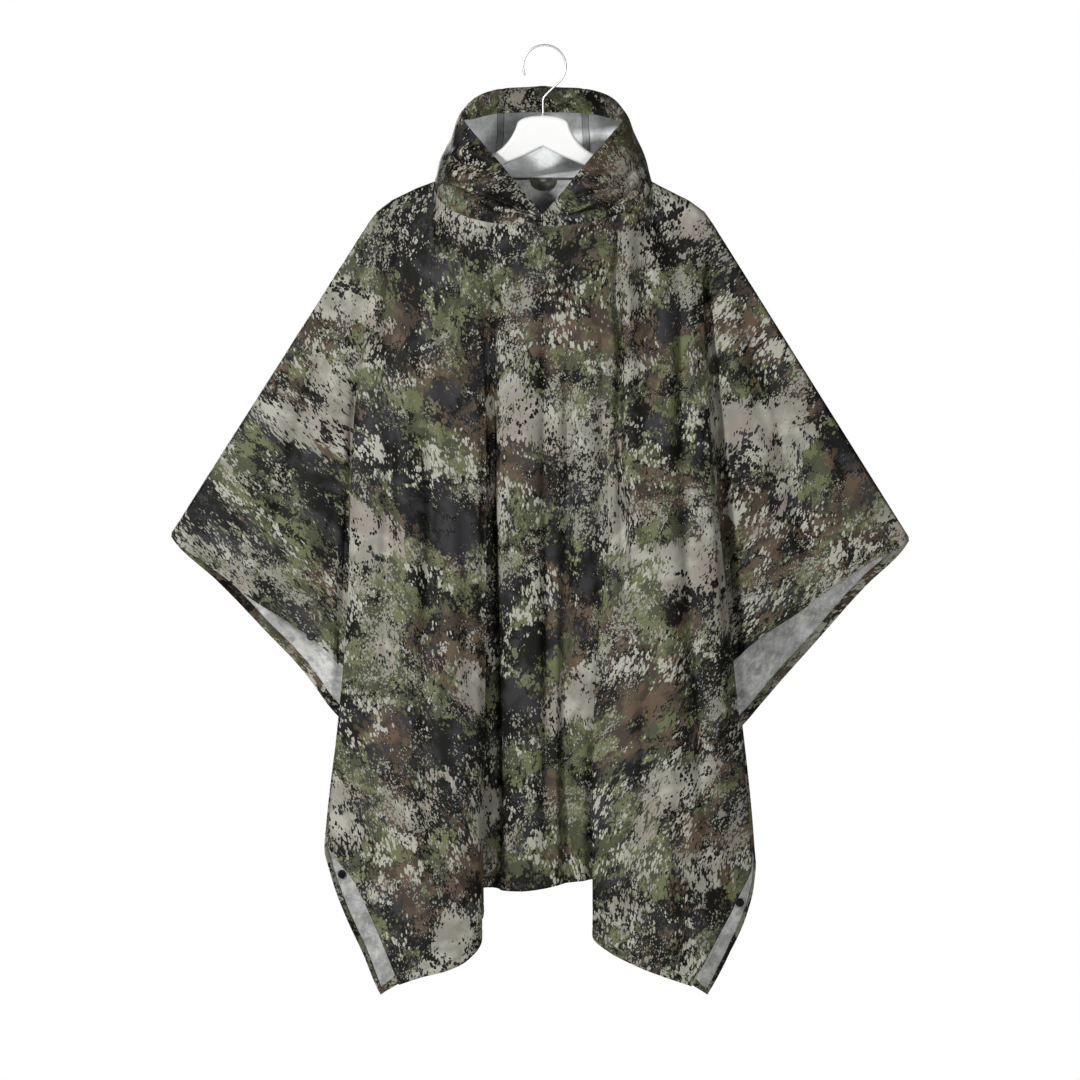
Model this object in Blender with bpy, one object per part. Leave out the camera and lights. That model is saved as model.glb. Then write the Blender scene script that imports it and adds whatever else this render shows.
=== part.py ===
"""Rain poncho hung on a flat white hanger.

The poncho is one long rectangle of coated cloth with a three-panel hood sewn
into a hole at its middle. It hangs over the hanger's arms, so each panel falls
straight between the arms' ends and swings down past them as a wing. Panels are
walls of constant thickness worked out from their folds: a table row is one fold
line that runs from the shoulder, or from the neck seam, down to the cloth's edge.

Sizes are in millimetres. X runs across, -Y is the front and +Z is up. The origin
is the inside top of the hook, where a rail or a peg holds the hanger.
"""

import math

import bmesh
import bpy
from mathutils import Matrix, Vector
from mathutils.bvhtree import BVHTree

MM = 0.001

# Cloth
CLOTH = 1.5             # wall of the coated cloth
SEAM_GAP = 0.3          # between two pieces that are sewn together
NECK_SEAM = (0.5, 1.6)  # height of the gap at the neck: in its middle and at its steep sides
FRONT, BACK = -1, 1     # the side of the shoulder that a panel hangs on

# The shoulder line, from the side of the neck to the top of the wing
NECK_HALF = 153.0       # half the width of the neck hole
NECK_Z = -190.0         # height of the neck hole's sides
NECK_FRONT = 58.0       # how far the neck seam stands forward at its middle
NECK_BACK = 40.0        # and how far back
NECK_DROP = 63.0        # how far the seam dips in front
NECK_LIFT = 5.0         # and rises behind
NECK_OVAL = 2.6         # bluntness of the hole in plan: 2 is an ellipse
NECK_DIP = {-1: 2.4, 1: 2.1}    # and of the seam's dip, on its left and right
SHOULDER = {            # each side's line down to the wing's tip: half width, height
    -1: ((0, -189), (153, -190), (177, -199), (212, -216), (233, -232), (246, -249),
         (520, -681)),
    1: ((0, -189), (153, -190), (170, -199), (204, -216), (226, -232), (238, -249),
        (512, -687)),
}
ROLL = 10.5             # radius of the cloth's turn over the hanger's edge

# Each row is one fold line, from left to right as the poncho is seen from the
# front: x at the shoulder, a third of the way down, two thirds down and at the
# foot; depth out from the shoulder's turn at the same three stations; height of
# the foot; and how many strips of cloth are cut to the next fold.
FOLD_COLUMNS = ("name", "x_top", "x_upper", "x_lower", "x_foot",
                "y_upper", "y_lower", "y_foot", "z_foot", "strips")
FRONT_FOLDS = (
    ("left_tip",         -520, -520, -520, -520,   0,   1,   2,  -687, 1),
    ("left_wing_a",      -462, -460, -459, -457,   4,   8,  12,  -735, 1),
    ("left_wing_b",      -405, -406, -406, -407,   8,  14,  20,  -774, 1),
    ("left_wing_c",      -350, -352, -354, -356,   8,  12,  16,  -806, 1),
    ("left_wing_d",      -300, -302, -304, -307,   8,  14,  22,  -842, 1),
    ("left_wing_fold",   -251, -258, -262, -262,  11,  17,  20,  -892, 1),
    ("left_pleat_in",    -245, -254, -242, -214,  15,  21,  25,  -950, 1),
    ("left_pleat_turn",  -239, -250, -216, -180,  20,  27,  32,  -995, 1),
    ("left_pleat_out",   -233, -254, -240, -232,  25,  33,  39, -1050, 1),
    ("left_body_edge",   -227, -264, -275, -300,  32,  42,  50, -1108, 1),
    ("left_side_upper",  -219, -250, -258, -267,  42,  58,  68, -1170, 1),
    ("left_side_lower",  -210, -233, -236, -234,  48,  70,  84, -1243, 1),
    ("left_corner",      -199, -211, -208, -200,  52,  78,  94, -1319, 1),
    ("left_crest",       -181, -183, -179, -171,  54,  82, 102, -1308, 1),
    ("left_lobe",        -153, -151, -146, -132,  54,  80, 102, -1291, 6),
    ("left_lobe_inner",  -121, -115, -109, -102,  52,  71,  92, -1275, 1),
    ("left_lobe_edge",    -91,  -82,  -81,  -85,  46,  57,  71, -1247, 1),
    ("left_groove_in",    -86,  -82,  -90, -108,  39,  45,  52, -1222, 1),
    ("left_groove_turn",  -81,  -85, -112, -153,  33,  33,  35, -1203, 1),
    ("left_groove_out",   -77,  -81,  -91, -114,  29,  22,  17, -1188, 1),
    ("channel_left",      -73,  -76,  -76,  -80,  27,  19,  14, -1177, 1),
    ("channel_slope",     -60,  -59,  -56,  -58,  36,  30,  27, -1181, 1),
    ("channel_crest",     -39,  -35,  -31,  -29,  43,  41,  42, -1182, 1),
    ("channel_ripple",     -8,   -7,   -4,   -2,  41,  38,  39, -1179, 1),
    ("channel_dip",        12,   11,   12,   16,  40,  33,  34, -1175, 1),
    ("channel_trough",     32,   32,   33,   36,  41,  31,  22, -1170, 1),
    ("channel_light",      52,   53,   53,   56,  46,  36,  24, -1168, 1),
    ("channel_right",      69,   73,   72,   76,  49,  38,  14, -1166, 1),
    ("right_groove_out",   80,   84,   86,  108,  51,  39,  18, -1180, 1),
    ("right_groove_turn",  89,   93,   97,  141,  52,  44,  35, -1200, 1),
    ("right_groove_in",    97,   99,   82,   98,  53,  52,  54, -1222, 1),
    ("right_lobe_edge",   105,  106,   72,   69,  54,  61,  75, -1243, 1),
    ("right_lobe_inner",  121,  121,   96,   93,  57,  74,  94, -1266, 6),
    ("right_lobe",        153,  151,  137,  132,  57,  84, 106, -1286, 1),
    ("right_crest",       177,  177,  172,  171,  55,  85, 108, -1306, 1),
    ("right_corner",      196,  203,  205,  207,  52,  80,  98, -1320, 1),
    ("right_side_lower",  207,  221,  234,  240,  47,  71,  86, -1253, 1),
    ("right_side_upper",  215,  234,  254,  271,  41,  58,  68, -1194, 1),
    ("right_body_edge",   223,  240,  268,  291,  32,  42,  50, -1134, 1),
    ("right_pleat_out",   229,  224,  240,  236,  25,  33,  39, -1066, 1),
    ("right_pleat_turn",  234,  208,  204,  188,  20,  27,  32, -1000, 1),
    ("right_pleat_in",    239,  224,  226,  212,  15,  21,  25,  -946, 1),
    ("right_wing_fold",   245,  242,  247,  256,  11,  17,  20,  -872, 1),
    ("right_wing_d",      295,  297,  299,  301,   8,  14,  22,  -830, 1),
    ("right_wing_c",      345,  348,  351,  354,   8,  12,  17,  -795, 1),
    ("right_wing_b",      400,  402,  404,  406,   7,  12,  18,  -757, 1),
    ("right_wing_a",      456,  457,  458,  459,   4,   7,  10,  -721, 1),
    ("right_tip",         512,  512,  512,  512,   0,   1,   2,  -693, 0),
)
BACK_FOLDS = (
    ("left_tip",         -520, -520, -520, -520,   0,   1,   2,  -687, 1),
    ("left_wing_a",      -462, -459, -456, -453,   6,  10,  15,  -752, 1),
    ("left_wing_b",      -405, -402, -399, -396,   9,  17,  26,  -811, 1),
    ("left_wing_c",      -350, -347, -344, -341,  10,  18,  28,  -869, 1),
    ("left_wing_d",      -300, -297, -293, -289,  10,  16,  24,  -936, 1),
    ("left_wing_fold",   -251, -254, -252, -246,  12,  18,  21,  -974, 1),
    ("left_pleat_in",    -245, -250, -232, -210,  16,  22,  26, -1005, 1),
    ("left_pleat_turn",  -239, -246, -212, -180,  21,  28,  33, -1038, 1),
    ("left_pleat_out",   -233, -250, -238, -234,  26,  34,  40, -1074, 1),
    ("left_body_edge",   -227, -258, -272, -302,  33,  43,  51, -1112, 1),
    ("left_side_upper",  -219, -247, -260, -299,  42,  54,  60, -1158, 1),
    ("left_side_middle", -210, -233, -245, -279,  47,  63,  70, -1215, 1),
    ("left_side_lower",  -202, -220, -231, -253,  50,  69,  78, -1272, 1),
    ("left_corner",      -192, -203, -212, -228,  52,  74,  84, -1330, 1),
    ("left_crest",       -176, -179, -182, -184,  53,  78,  94, -1304, 1),
    ("left_lobe",        -153, -150, -145, -138,  54,  76,  96, -1274, 4),
    ("left_lobe_edge",   -112, -101,  -90,  -84,  50,  60,  76, -1222, 1),
    ("left_groove_in",    -98,  -96,  -97, -102,  46,  44,  50, -1203, 1),
    ("left_groove_turn",  -88,  -90,  -98, -124,  42,  33,  32, -1190, 1),
    ("left_groove_out",   -79,  -82,  -87, -104,  42,  28,  18, -1176, 1),
    ("centre_left",       -69,  -72,  -74,  -78,  45,  30,  14, -1165, 1),
    ("centre_slope",      -46,  -44,  -42,  -44,  52,  46,  40, -1161, 2),
    ("centre_crest",      -12,   -8,   -4,   -2,  58,  60,  64, -1157, 2),
    ("centre_right",       32,   34,   38,   42,  51,  44,  42, -1158, 1),
    ("centre_dip",         60,   62,   64,   68,  45,  34,  22, -1161, 1),
    ("right_groove",       84,   86,   88,   94,  46,  42,  36, -1182, 1),
    ("right_lobe_edge",   112,  106,  101,   97,  50,  66,  80, -1218, 4),
    ("right_lobe",        153,  150,  144,  136,  54,  78,  98, -1272, 1),
    ("right_crest",       174,  176,  180,  187,  53,  78,  96, -1304, 1),
    ("right_corner",      190,  202,  214,  231,  51,  73,  84, -1330, 1),
    ("right_side_lower",  201,  218,  232,  259,  49,  68,  77, -1268, 1),
    ("right_side_middle", 209,  229,  246,  281,  46,  62,  69, -1219, 1),
    ("right_side_upper",  217,  237,  258,  293,  41,  53,  59, -1170, 1),
    ("right_body_edge",   224,  242,  267,  292,  32,  42,  50, -1124, 1),
    ("right_pleat_out",   230,  228,  238,  236,  26,  34,  40, -1080, 1),
    ("right_pleat_turn",  235,  216,  206,  186,  21,  28,  33, -1040, 1),
    ("right_pleat_in",    240,  228,  226,  212,  16,  22,  26, -1006, 1),
    ("right_wing_fold",   246,  244,  246,  250,  12,  18,  21,  -982, 1),
    ("right_wing_d",      295,  292,  288,  284,  10,  17,  25,  -946, 1),
    ("right_wing_c",      345,  342,  338,  334,  10,  18,  27,  -888, 1),
    ("right_wing_b",      400,  397,  393,  390,   9,  16,  24,  -825, 1),
    ("right_wing_a",      456,  453,  450,  447,   6,   9,  14,  -761, 1),
    ("right_tip",         512,  512,  512,  512,   0,   1,   2,  -693, 0),
)
ROWS = 12               # rows of cloth between the shoulder's turn and the foot

# The hood, half of it: turn is the place round the neck hole, 0 in front and 1
# behind. A row is one line of cloth from the neck seam to the face opening; it
# passes low, high and over the crown before it ends at the opening's edge. The
# last column says how many strips of cloth are cut to the next line.
HOOD_COLUMNS = ("turn", "low", "high", "crown", "edge", "strips")
HOOD_LINES = (
    (0.00, (0, -59, -249), (0, -58, -245), (0, -57, -241), (0, -56, -237), 2),
    (0.12, (53, -61, -242), (46, -61, -229), (37, -57, -217), (28, -52, -205), 2),
    (0.25, (108, -52, -230), (95, -52, -207), (76, -47, -185), (58, -40, -168), 4),
    (0.38, (140, -34, -207), (124, -32, -176), (105, -27, -151), (87, -20, -134), 5),
    (0.50, (145, 2, -168), (134, 14, -138), (122, 16, -109), (111, 0, -105), 3),
    (0.62, (143, 40, -162), (129, 60, -118), (110, 46, -83), (98, 9, -101), 2),
    (0.75, (114, 82, -160), (104, 93, -110), (90, 64, -67), (80, 15, -96), 2),
    (0.88, (62, 95, -162), (60, 105, -110), (58, 68, -58), (55, 19, -92), 2),
    (1.00, (0, 97, -164), (0, 108, -110), (0, 68, -54), (0, 21, -91), 0),
)
HOOD_SEAM = 0.88        # turn of the seams between the side and centre panels
HOOD_ROWS = 12

# Hanging loop, sewn inside the back of the neck seam
LOOP_WIDTH = 36.0
LOOP_DROP = 15.0
LOOP_BAND = 8.0

# Press studs: name, panel, x, z and the way that they face
STUD_RADIUS = 5.7
STUD_HEIGHT = 2.2
STUDS = (
    ("stud_left_wing", "front_panel", -324.0, -826.0, FRONT),
    ("stud_left_side", "back_panel", -283.0, -1161.0, FRONT),
    ("stud_right_side", "back_panel", 277.0, -1201.0, FRONT),
    ("stud_right_front", "front_panel", 257.0, -1199.0, FRONT),
)

# Hanger
HANGER_THICK = 12.0
HANGER_REST = 2.3       # from the arms' top edge up to the cloth's fold over it
HANGER_EASE = 4.0       # rounding of its edges
HANGER_ARM = (167.0, 178.0, 190.0, 205.0, 216.0, 223.0)  # where the arms bear the cloth
HANGER_TOP = (          # half of the top edge, from the middle out: x, z
    (0.0, -97.0),
    (20.0, -99.0),
    (34.0, -105.0),
    (39.0, -117.0),
    (47.0, -131.0),
    (59.0, -144.0),
    (72.0, -152.0),
    (108.0, -172.5),
    (146.0, -194.5),
)
HANGER_UNDER = (        # half of the under edge, from the end in
    (223.0, -246.0),
    (217.0, -252.0),
    (206.0, -249.0),
    (150.0, -219.0),
    (100.0, -191.0),
    (56.0, -166.5),
    (24.0, -153.0),
    (0.0, -141.0),
)

# Hook: a bent wire that is screwed into the hanger's middle
WIRE = 2.8
SHANK_TOP = -73.0
HOOK_RADIUS = 28.5      # inside
HOOK_X = 2.0            # the round stands this far off the shank
HOOK_ENTRY = -42.0      # angle at which the slanting wire meets the round
HOOK_END = 205.0        # angle of the wire's free end

COLOURS = {
    "camouflage": ((0.085, 0.085, 0.062), 0.62, 0.0),
    "webbing": ((0.05, 0.055, 0.04), 0.8, 0.0),
    "stud": ((0.012, 0.012, 0.013), 0.35, 0.0),
    "white_paint": ((0.83, 0.83, 0.81), 0.4, 0.0),
    "wire": ((0.62, 0.62, 0.62), 0.25, 1.0),
}


# ---------------------------------------------------------------- curves

def span_curve(before, here, there, after, f):
    """A smooth curve from `here` to `there`, at f from 0 to 1."""
    return here + 0.5 * f * (there - before + f * (
        2 * before - 5 * here + 4 * there - after + f * (
            3 * (here - there) + after - before)))


def even_curve(values, t):
    """A smooth curve through evenly spaced values, at t from 0 to 1."""
    spans = len(values) - 1
    at = min(int(t * spans), spans - 1)
    before, after = values[max(at - 1, 0)], values[min(at + 2, spans)]
    return span_curve(before, values[at], values[at + 1], after, t * spans - at)


def knot_curve(points, at, f):
    """The point at f of span `at` on a smooth curve through uneven points."""
    p1, p2 = points[at], points[at + 1]
    p0 = points[at - 1] if at > 0 else p1 * 2 - p2
    p3 = points[at + 2] if at + 2 < len(points) else p2 * 2 - p1
    t0 = 0.0
    t1 = t0 + max((p1 - p0).length, 1e-6) ** 0.5
    t2 = t1 + max((p2 - p1).length, 1e-6) ** 0.5
    t3 = t2 + max((p3 - p2).length, 1e-6) ** 0.5
    t = t1 + (t2 - t1) * f
    a1 = p0.lerp(p1, (t - t0) / (t1 - t0))
    a2 = p1.lerp(p2, (t - t1) / (t2 - t1))
    a3 = p2.lerp(p3, (t - t2) / (t3 - t2))
    b1 = a1.lerp(a2, (t - t0) / (t2 - t0))
    b2 = a2.lerp(a3, (t - t1) / (t3 - t1))
    return b1.lerp(b2, (t - t1) / (t2 - t1))


def table_curve(rows, x):
    """Straight runs between a table's (x, z) rows."""
    for (x_a, z_a), (x_b, z_b) in zip(rows, rows[1:]):
        if x <= x_b:
            break
    return z_a + (z_b - z_a) * (x - x_a) / (x_b - x_a)


# ---------------------------------------------------------------- the garment's lines

def shoulder_z(x):
    """Height of the shoulder line, from the neck's side to the wing's tip."""
    return table_curve(SHOULDER[-1 if x < 0 else 1], abs(x))


def neck_point(x, side):
    """The neck seam at x: an oval in plan that dips in front."""
    across = min(abs(x) / NECK_HALF, 1.0)
    if side == FRONT:
        power = NECK_DIP[-1 if x < 0 else 1]
        drop = -NECK_DROP * (1 - across ** power) ** (1 / power)
        reach = NECK_FRONT
    else:
        drop = NECK_LIFT * math.sqrt(1 - across ** 2)
        reach = NECK_BACK
    oval = (1 - across ** NECK_OVAL) ** (1 / NECK_OVAL)
    return Vector((x, side * reach * oval, NECK_Z + drop))


def fold_line(fold, side):
    """The points of one fold, from the shoulder or the neck seam to the foot."""
    x_top = fold["x_top"]
    at_neck = abs(x_top) < NECK_HALF
    top = neck_point(x_top, side) if at_neck else Vector((x_top, 0, shoulder_z(x_top)))
    drop = top.z - fold["z_foot"]
    roll = min(ROLL, 0.4 * drop)
    # the first rows follow the turn over the shoulder, the rest are even
    falls = [0.0, 0.3 * roll, roll]
    falls += [roll + (drop - roll) * (row_at + 1) / ROWS for row_at in range(ROWS)]
    xs = [x_top, fold["x_upper"], fold["x_lower"], fold["x_foot"]]
    ys = [abs(top.y) - roll if at_neck else 0.0,
          fold["y_upper"], fold["y_lower"], fold["y_foot"]]
    line = []
    for fall in falls:
        t = fall / drop
        inside_roll = roll - min(fall, roll)
        turned = roll if at_neck else math.sqrt(roll ** 2 - inside_roll ** 2)
        out = max(turned + even_curve(ys, t), SEAM_GAP / 2)
        line.append(Vector((even_curve(xs, t), side * out, top.z - fall)))
    start = Vector((0, 0, -1)) if at_neck else Vector((0, side, 0))
    return line, start


def between(table, at, f):
    """The table's row at f of the way from row `at` to the next, all curved."""
    rows = [table[min(max(i, 0), len(table) - 1)] for i in (at - 1, at, at + 1, at + 2)]
    mixed = []
    for before, here, there, after in zip(*rows):
        if isinstance(here, tuple):
            mixed.append(tuple(span_curve(*values, f)
                               for values in zip(before, here, there, after)))
        elif isinstance(here, str):
            mixed.append(here)
        else:
            mixed.append(span_curve(before, here, there, after, f))
    return mixed


def top_between(x_a, x_b, f):
    """x between two folds' tops, by angle where both are on the neck seam."""
    if max(abs(x_a), abs(x_b)) > NECK_HALF:
        return x_a + (x_b - x_a) * f
    angle_a, angle_b = (math.asin(x / NECK_HALF) for x in (x_a, x_b))
    return NECK_HALF * math.sin(angle_a + (angle_b - angle_a) * f)


def panel_grid(table, side):
    """Columns of points across a panel, and the cloth's run at their tops."""
    grid, starts = [], []
    for at, row in enumerate(table):
        strips = max(row[-1], 1)
        for strip in range(strips):
            fold = dict(zip(FOLD_COLUMNS, between(table, at, strip / strips)))
            if strip:
                fold["x_top"] = top_between(row[1], table[at + 1][1], strip / strips)
            line, start = fold_line(fold, side)
            grid.append(line)
            starts.append(start)
    return grid, starts


def hood_line(line, hand):
    """One line of the hood, from the neck seam to the face opening."""
    turn = min(line["turn"], 1.0)
    x = hand * NECK_HALF * math.sin(math.pi * turn)
    foot = neck_point(x, FRONT if turn < 0.5 else BACK)
    across = abs(x) / NECK_HALF
    gap = NECK_SEAM[0] + (NECK_SEAM[1] - NECK_SEAM[0]) * across ** 4
    points = [foot + Vector((-hand * 2 * SEAM_GAP * across, 0, gap))]
    for station in HOOD_COLUMNS[1:5]:
        x, y, z = line[station]
        points.append(Vector((hand * x, y, z)))
    fine = [knot_curve(points, at, step / 12) for at in range(4) for step in range(12)]
    fine.append(points[-1])
    return evenly(fine, HOOD_ROWS)


def evenly(points, parts):
    """Points at even lengths along a fine run of points."""
    run = [0.0]
    for a, b in zip(points, points[1:]):
        run.append(run[-1] + (b - a).length)
    even = []
    at = 0
    for part in range(parts):
        goal = run[-1] * part / parts
        while run[at + 1] < goal:
            at += 1
        even.append(points[at].lerp(points[at + 1], (goal - run[at]) / (run[at + 1] - run[at])))
    return even + [points[-1]]


def hood_grid():
    """The hood's columns, from its front, round its left, back to its front."""
    half = []
    for at, row in enumerate(HOOD_LINES):
        strips = max(row[-1], 1)
        for strip in range(strips):
            half.append(dict(zip(HOOD_COLUMNS, between(HOOD_LINES, at, strip / strips))))
    grid = [hood_line(line, -1) for line in half]
    grid += [hood_line(line, 1) for line in half[-2::-1]]
    turns = [line["turn"] for line in half]
    turns += [2 - turn for turn in turns[-2::-1]]
    return grid, turns


# ---------------------------------------------------------------- solids

def material(name):
    colour, roughness, metallic = COLOURS[name]
    made = bpy.data.materials.new(name)
    made.use_nodes = True
    shader = made.node_tree.nodes["Principled BSDF"]
    shader.inputs["Base Color"].default_value = (*colour, 1)
    shader.inputs["Roughness"].default_value = roughness
    shader.inputs["Metallic"].default_value = metallic
    return made


def add_object(name, mesh, slot, materials):
    thing = bpy.data.objects.new(name, mesh)
    thing.data.materials.append(materials[slot])
    bpy.context.scene.collection.objects.link(thing)
    return thing


def mesh_of(name, bm, smooth=True):
    """Turn a bmesh in millimetres into a mesh in metres with its faces out."""
    bmesh.ops.recalc_face_normals(bm, faces=bm.faces)
    bmesh.ops.scale(bm, vec=(MM, MM, MM), verts=bm.verts)
    mesh = bpy.data.meshes.new(name)
    bm.to_mesh(mesh)
    bm.free()
    if smooth:
        mesh.shade_smooth()
        mesh.set_sharp_from_angle(angle=math.radians(40))
    return mesh


def grid_normals(grid, starts, outward):
    """The cloth's outward direction at each point of a grid."""
    last, foot = len(grid) - 1, len(grid[0]) - 1
    normals = []
    for c, column in enumerate(grid):
        line = []
        for r in range(foot + 1):
            across = grid[min(c + 1, last)][r] - grid[max(c - 1, 0)][r]
            if r == 0 and starts:
                down = starts[c]
            else:
                down = column[min(r + 1, foot)] - column[max(r - 1, 0)]
            line.append(across.cross(down).normalized() * outward)
        normals.append(line)
    return normals


def wall(grid, normals):
    """A closed wall of cloth: the grid is its outer face, the inner lies within."""
    bm = bmesh.new()
    outer = [[bm.verts.new(p) for p in column] for column in grid]
    inner = [[bm.verts.new(p - n * CLOTH) for p, n in zip(column, line)]
             for column, line in zip(grid, normals)]
    last, foot = len(grid) - 1, len(grid[0]) - 1
    for sheet in (outer, inner):
        for c in range(last):
            for r in range(foot):
                corners = (sheet[c][r], sheet[c + 1][r], sheet[c + 1][r + 1], sheet[c][r + 1])
                bm.faces.new(corners if sheet is outer else corners[::-1])
    rim = [(c, 0) for c in range(last)] + [(last, r) for r in range(foot)]
    rim += [(c, foot) for c in range(last, 0, -1)] + [(0, r) for r in range(foot, 0, -1)]
    for (c_a, r_a), (c_b, r_b) in zip(rim, rim[1:] + rim[:1]):
        bm.faces.new((outer[c_b][r_b], outer[c_a][r_a], inner[c_a][r_a], inner[c_b][r_b]))
    return bm


def extruded(outline, y_front, y_back):
    """A plate: an outline of (x, z) points between two depths."""
    bm = bmesh.new()
    face = bm.faces.new([bm.verts.new((x, y_front, z)) for x, z in outline])
    grown = bmesh.ops.extrude_face_region(bm, geom=[face])
    moved = [v for v in grown["geom"] if isinstance(v, bmesh.types.BMVert)]
    bmesh.ops.translate(bm, verts=moved, vec=(0, y_back - y_front, 0))
    return bm


# ---------------------------------------------------------------- pieces

def panels(materials):
    """Front and back panel, which meet along the shoulder."""
    made = {}
    for name, table, side in (("front_panel", FRONT_FOLDS, FRONT),
                              ("back_panel", BACK_FOLDS, BACK)):
        grid, starts = panel_grid(table, side)
        normals = grid_normals(grid, starts, side)
        mesh = mesh_of(name, wall(grid, normals))
        made[name] = add_object(name, mesh, "camouflage", materials)
    return made


def hood(materials):
    """Left side, centre strip and right side, sewn edge to edge."""
    grid, turns = hood_grid()
    normals = grid_normals(grid, None, -1)
    seams = (0.0, HOOD_SEAM, 2 - HOOD_SEAM, 2.0)
    for name, start, end in zip(("hood_left", "hood_centre", "hood_right"),
                                seams, seams[1:]):
        inside = [c for c, turn in enumerate(turns) if start - 1e-6 <= turn <= end + 1e-6]
        piece = [[p.copy() for p in grid[c]] for c in inside]
        lines = [normals[c] for c in inside]
        for edge, neighbour in ((0, 1), (-1, -2)):
            for r, point in enumerate(piece[edge]):
                towards = (piece[neighbour][r] - point).normalized()
                piece[edge][r] = point + towards * SEAM_GAP / 2
        mesh = mesh_of(name, wall(piece, lines))
        add_object(name, mesh, "camouflage", materials)


def hanging_loop(materials):
    """A folded ribbon under the back of the neck seam, inside."""
    steps = 10
    arc = [math.pi * i / steps for i in range(steps + 1)]
    half, slot = LOOP_WIDTH / 2, LOOP_WIDTH / 2 - LOOP_BAND
    top = NECK_Z + NECK_LIFT - 1
    outline = [(-half * math.cos(a), top - LOOP_DROP * math.sin(a)) for a in arc]
    outline += [(slot * math.cos(a), top - (LOOP_DROP - LOOP_BAND) * math.sin(a)) for a in arc]
    depth = NECK_BACK - CLOTH - 2 * SEAM_GAP
    add_object("hanging_loop", mesh_of("hanging_loop", extruded(outline, depth - CLOTH, depth)),
               "webbing", materials)


def proud_of(tree, place, turn):
    """How far the cloth under a stud's rim rises over the plane at its middle."""
    reach = 20 * MM
    normal = turn.to_3x3() @ Vector((0, 0, 1))
    highest = 0.0
    for i in range(16):
        angle = 2 * math.pi * i / 16
        rim = turn @ Vector((math.cos(angle), math.sin(angle), 0)) * STUD_RADIUS * MM
        hit, _, _, _ = tree.ray_cast(place + rim + normal * reach, -normal)
        if hit:
            highest = max(highest, (hit - place).dot(normal))
    return highest


def studs(made, materials):
    """Press studs, seated on the cloth that carries them."""
    steps = 16
    for name, panel, x, z, face in STUDS:
        bm = bmesh.new()
        bm.from_mesh(made[panel].data)
        tree = BVHTree.FromBMesh(bm)
        bm.free()
        start = Vector((x, -400 if panel == "front_panel" else 0, z)) * MM
        place, normal, _, _ = tree.ray_cast(start, Vector((0, -face, 0)))
        turn = normal.to_track_quat("Z", "Y").to_matrix().to_4x4()
        place += normal * proud_of(tree, place, turn)
        bm = bmesh.new()
        rings = ((STUD_RADIUS, SEAM_GAP), (STUD_RADIUS, STUD_HEIGHT * 0.6),
                 (STUD_RADIUS * 0.75, STUD_HEIGHT))
        loops = [[bm.verts.new((r * math.cos(2 * math.pi * i / steps),
                                r * math.sin(2 * math.pi * i / steps), h))
                  for i in range(steps)] for r, h in rings]
        bm.faces.new(loops[0][::-1])
        bm.faces.new(loops[-1])
        for low, high in zip(loops, loops[1:]):
            for i in range(steps):
                j = (i + 1) % steps
                bm.faces.new((low[i], low[j], high[j], high[i]))
        mesh = mesh_of(name, bm)
        mesh.transform(Matrix.Translation(place) @ turn)
        add_object(name, mesh, "stud", materials)


def hanger(materials):
    """A flat board with arms that follow the shoulder, and eased edges."""
    right = []
    left = []
    for half, hand in ((right, 1), (left, -1)):
        half += [(hand * x, z) for x, z in HANGER_TOP]
        half += [(hand * x, shoulder_z(hand * x) - CLOTH - HANGER_REST) for x in HANGER_ARM]
        half += [(hand * x, z) for x, z in HANGER_UNDER]
    outline = right + left[-2:0:-1]
    bm = extruded(outline, -HANGER_THICK / 2, HANGER_THICK / 2)
    rims = [e for e in bm.edges if abs(e.verts[0].co.y - e.verts[1].co.y) < 1e-6]
    bmesh.ops.bevel(bm, geom=rims, offset=HANGER_EASE, segments=3, profile=0.5, affect="EDGES")
    add_object("hanger", mesh_of("hanger", bm), "white_paint", materials)


def hook(materials):
    """Shank, slanting run and round of one bent wire."""
    radius = HOOK_RADIUS + WIRE / 2
    centre = Vector((HOOK_X, 0, -HOOK_RADIUS))
    foot = HANGER_TOP[0][1] + SEAM_GAP
    path = [Vector((0, 0, foot)), Vector((0, 0, foot + 8)), Vector((0, 0, SHANK_TOP - 4)),
            Vector((0.6, 0, SHANK_TOP)), Vector((2.6, 0, SHANK_TOP + 2.8))]
    steps = 26
    for i in range(steps + 1):
        angle = math.radians(HOOK_ENTRY + (HOOK_END - HOOK_ENTRY) * i / steps)
        path.append(centre + Vector((math.cos(angle), 0, math.sin(angle))) * radius)
    curve = bpy.data.curves.new("hook", "CURVE")
    curve.dimensions = "3D"
    curve.bevel_depth = WIRE / 2 * MM
    curve.bevel_resolution = 2
    curve.use_fill_caps = True
    spline = curve.splines.new("POLY")
    spline.points.add(len(path) - 1)
    for point, place in zip(spline.points, path):
        point.co = (*(place * MM), 1)
    curve.materials.append(materials["wire"])
    wire = bpy.data.objects.new("hook", curve)
    bpy.context.scene.collection.objects.link(wire)


def build():
    for thing in list(bpy.data.objects):
        bpy.data.objects.remove(thing, do_unlink=True)
    materials = {name: material(name) for name in COLOURS}
    made = panels(materials)
    hood(materials)
    hanging_loop(materials)
    studs(made, materials)
    hanger(materials)
    hook(materials)


build()
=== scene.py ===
"""Rain poncho on a hanger, finished: cloth, hems, stitching, hood, studs, board and hook.

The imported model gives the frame. The cloth's folds are worked out here again, finer,
from the same tables as its solids; sizes are in millimetres until a mesh is made.
"""

import math

import bmesh
import bpy
import numpy as np
from mathutils import Matrix, Vector, noise
from mathutils.bvhtree import BVHTree


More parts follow.
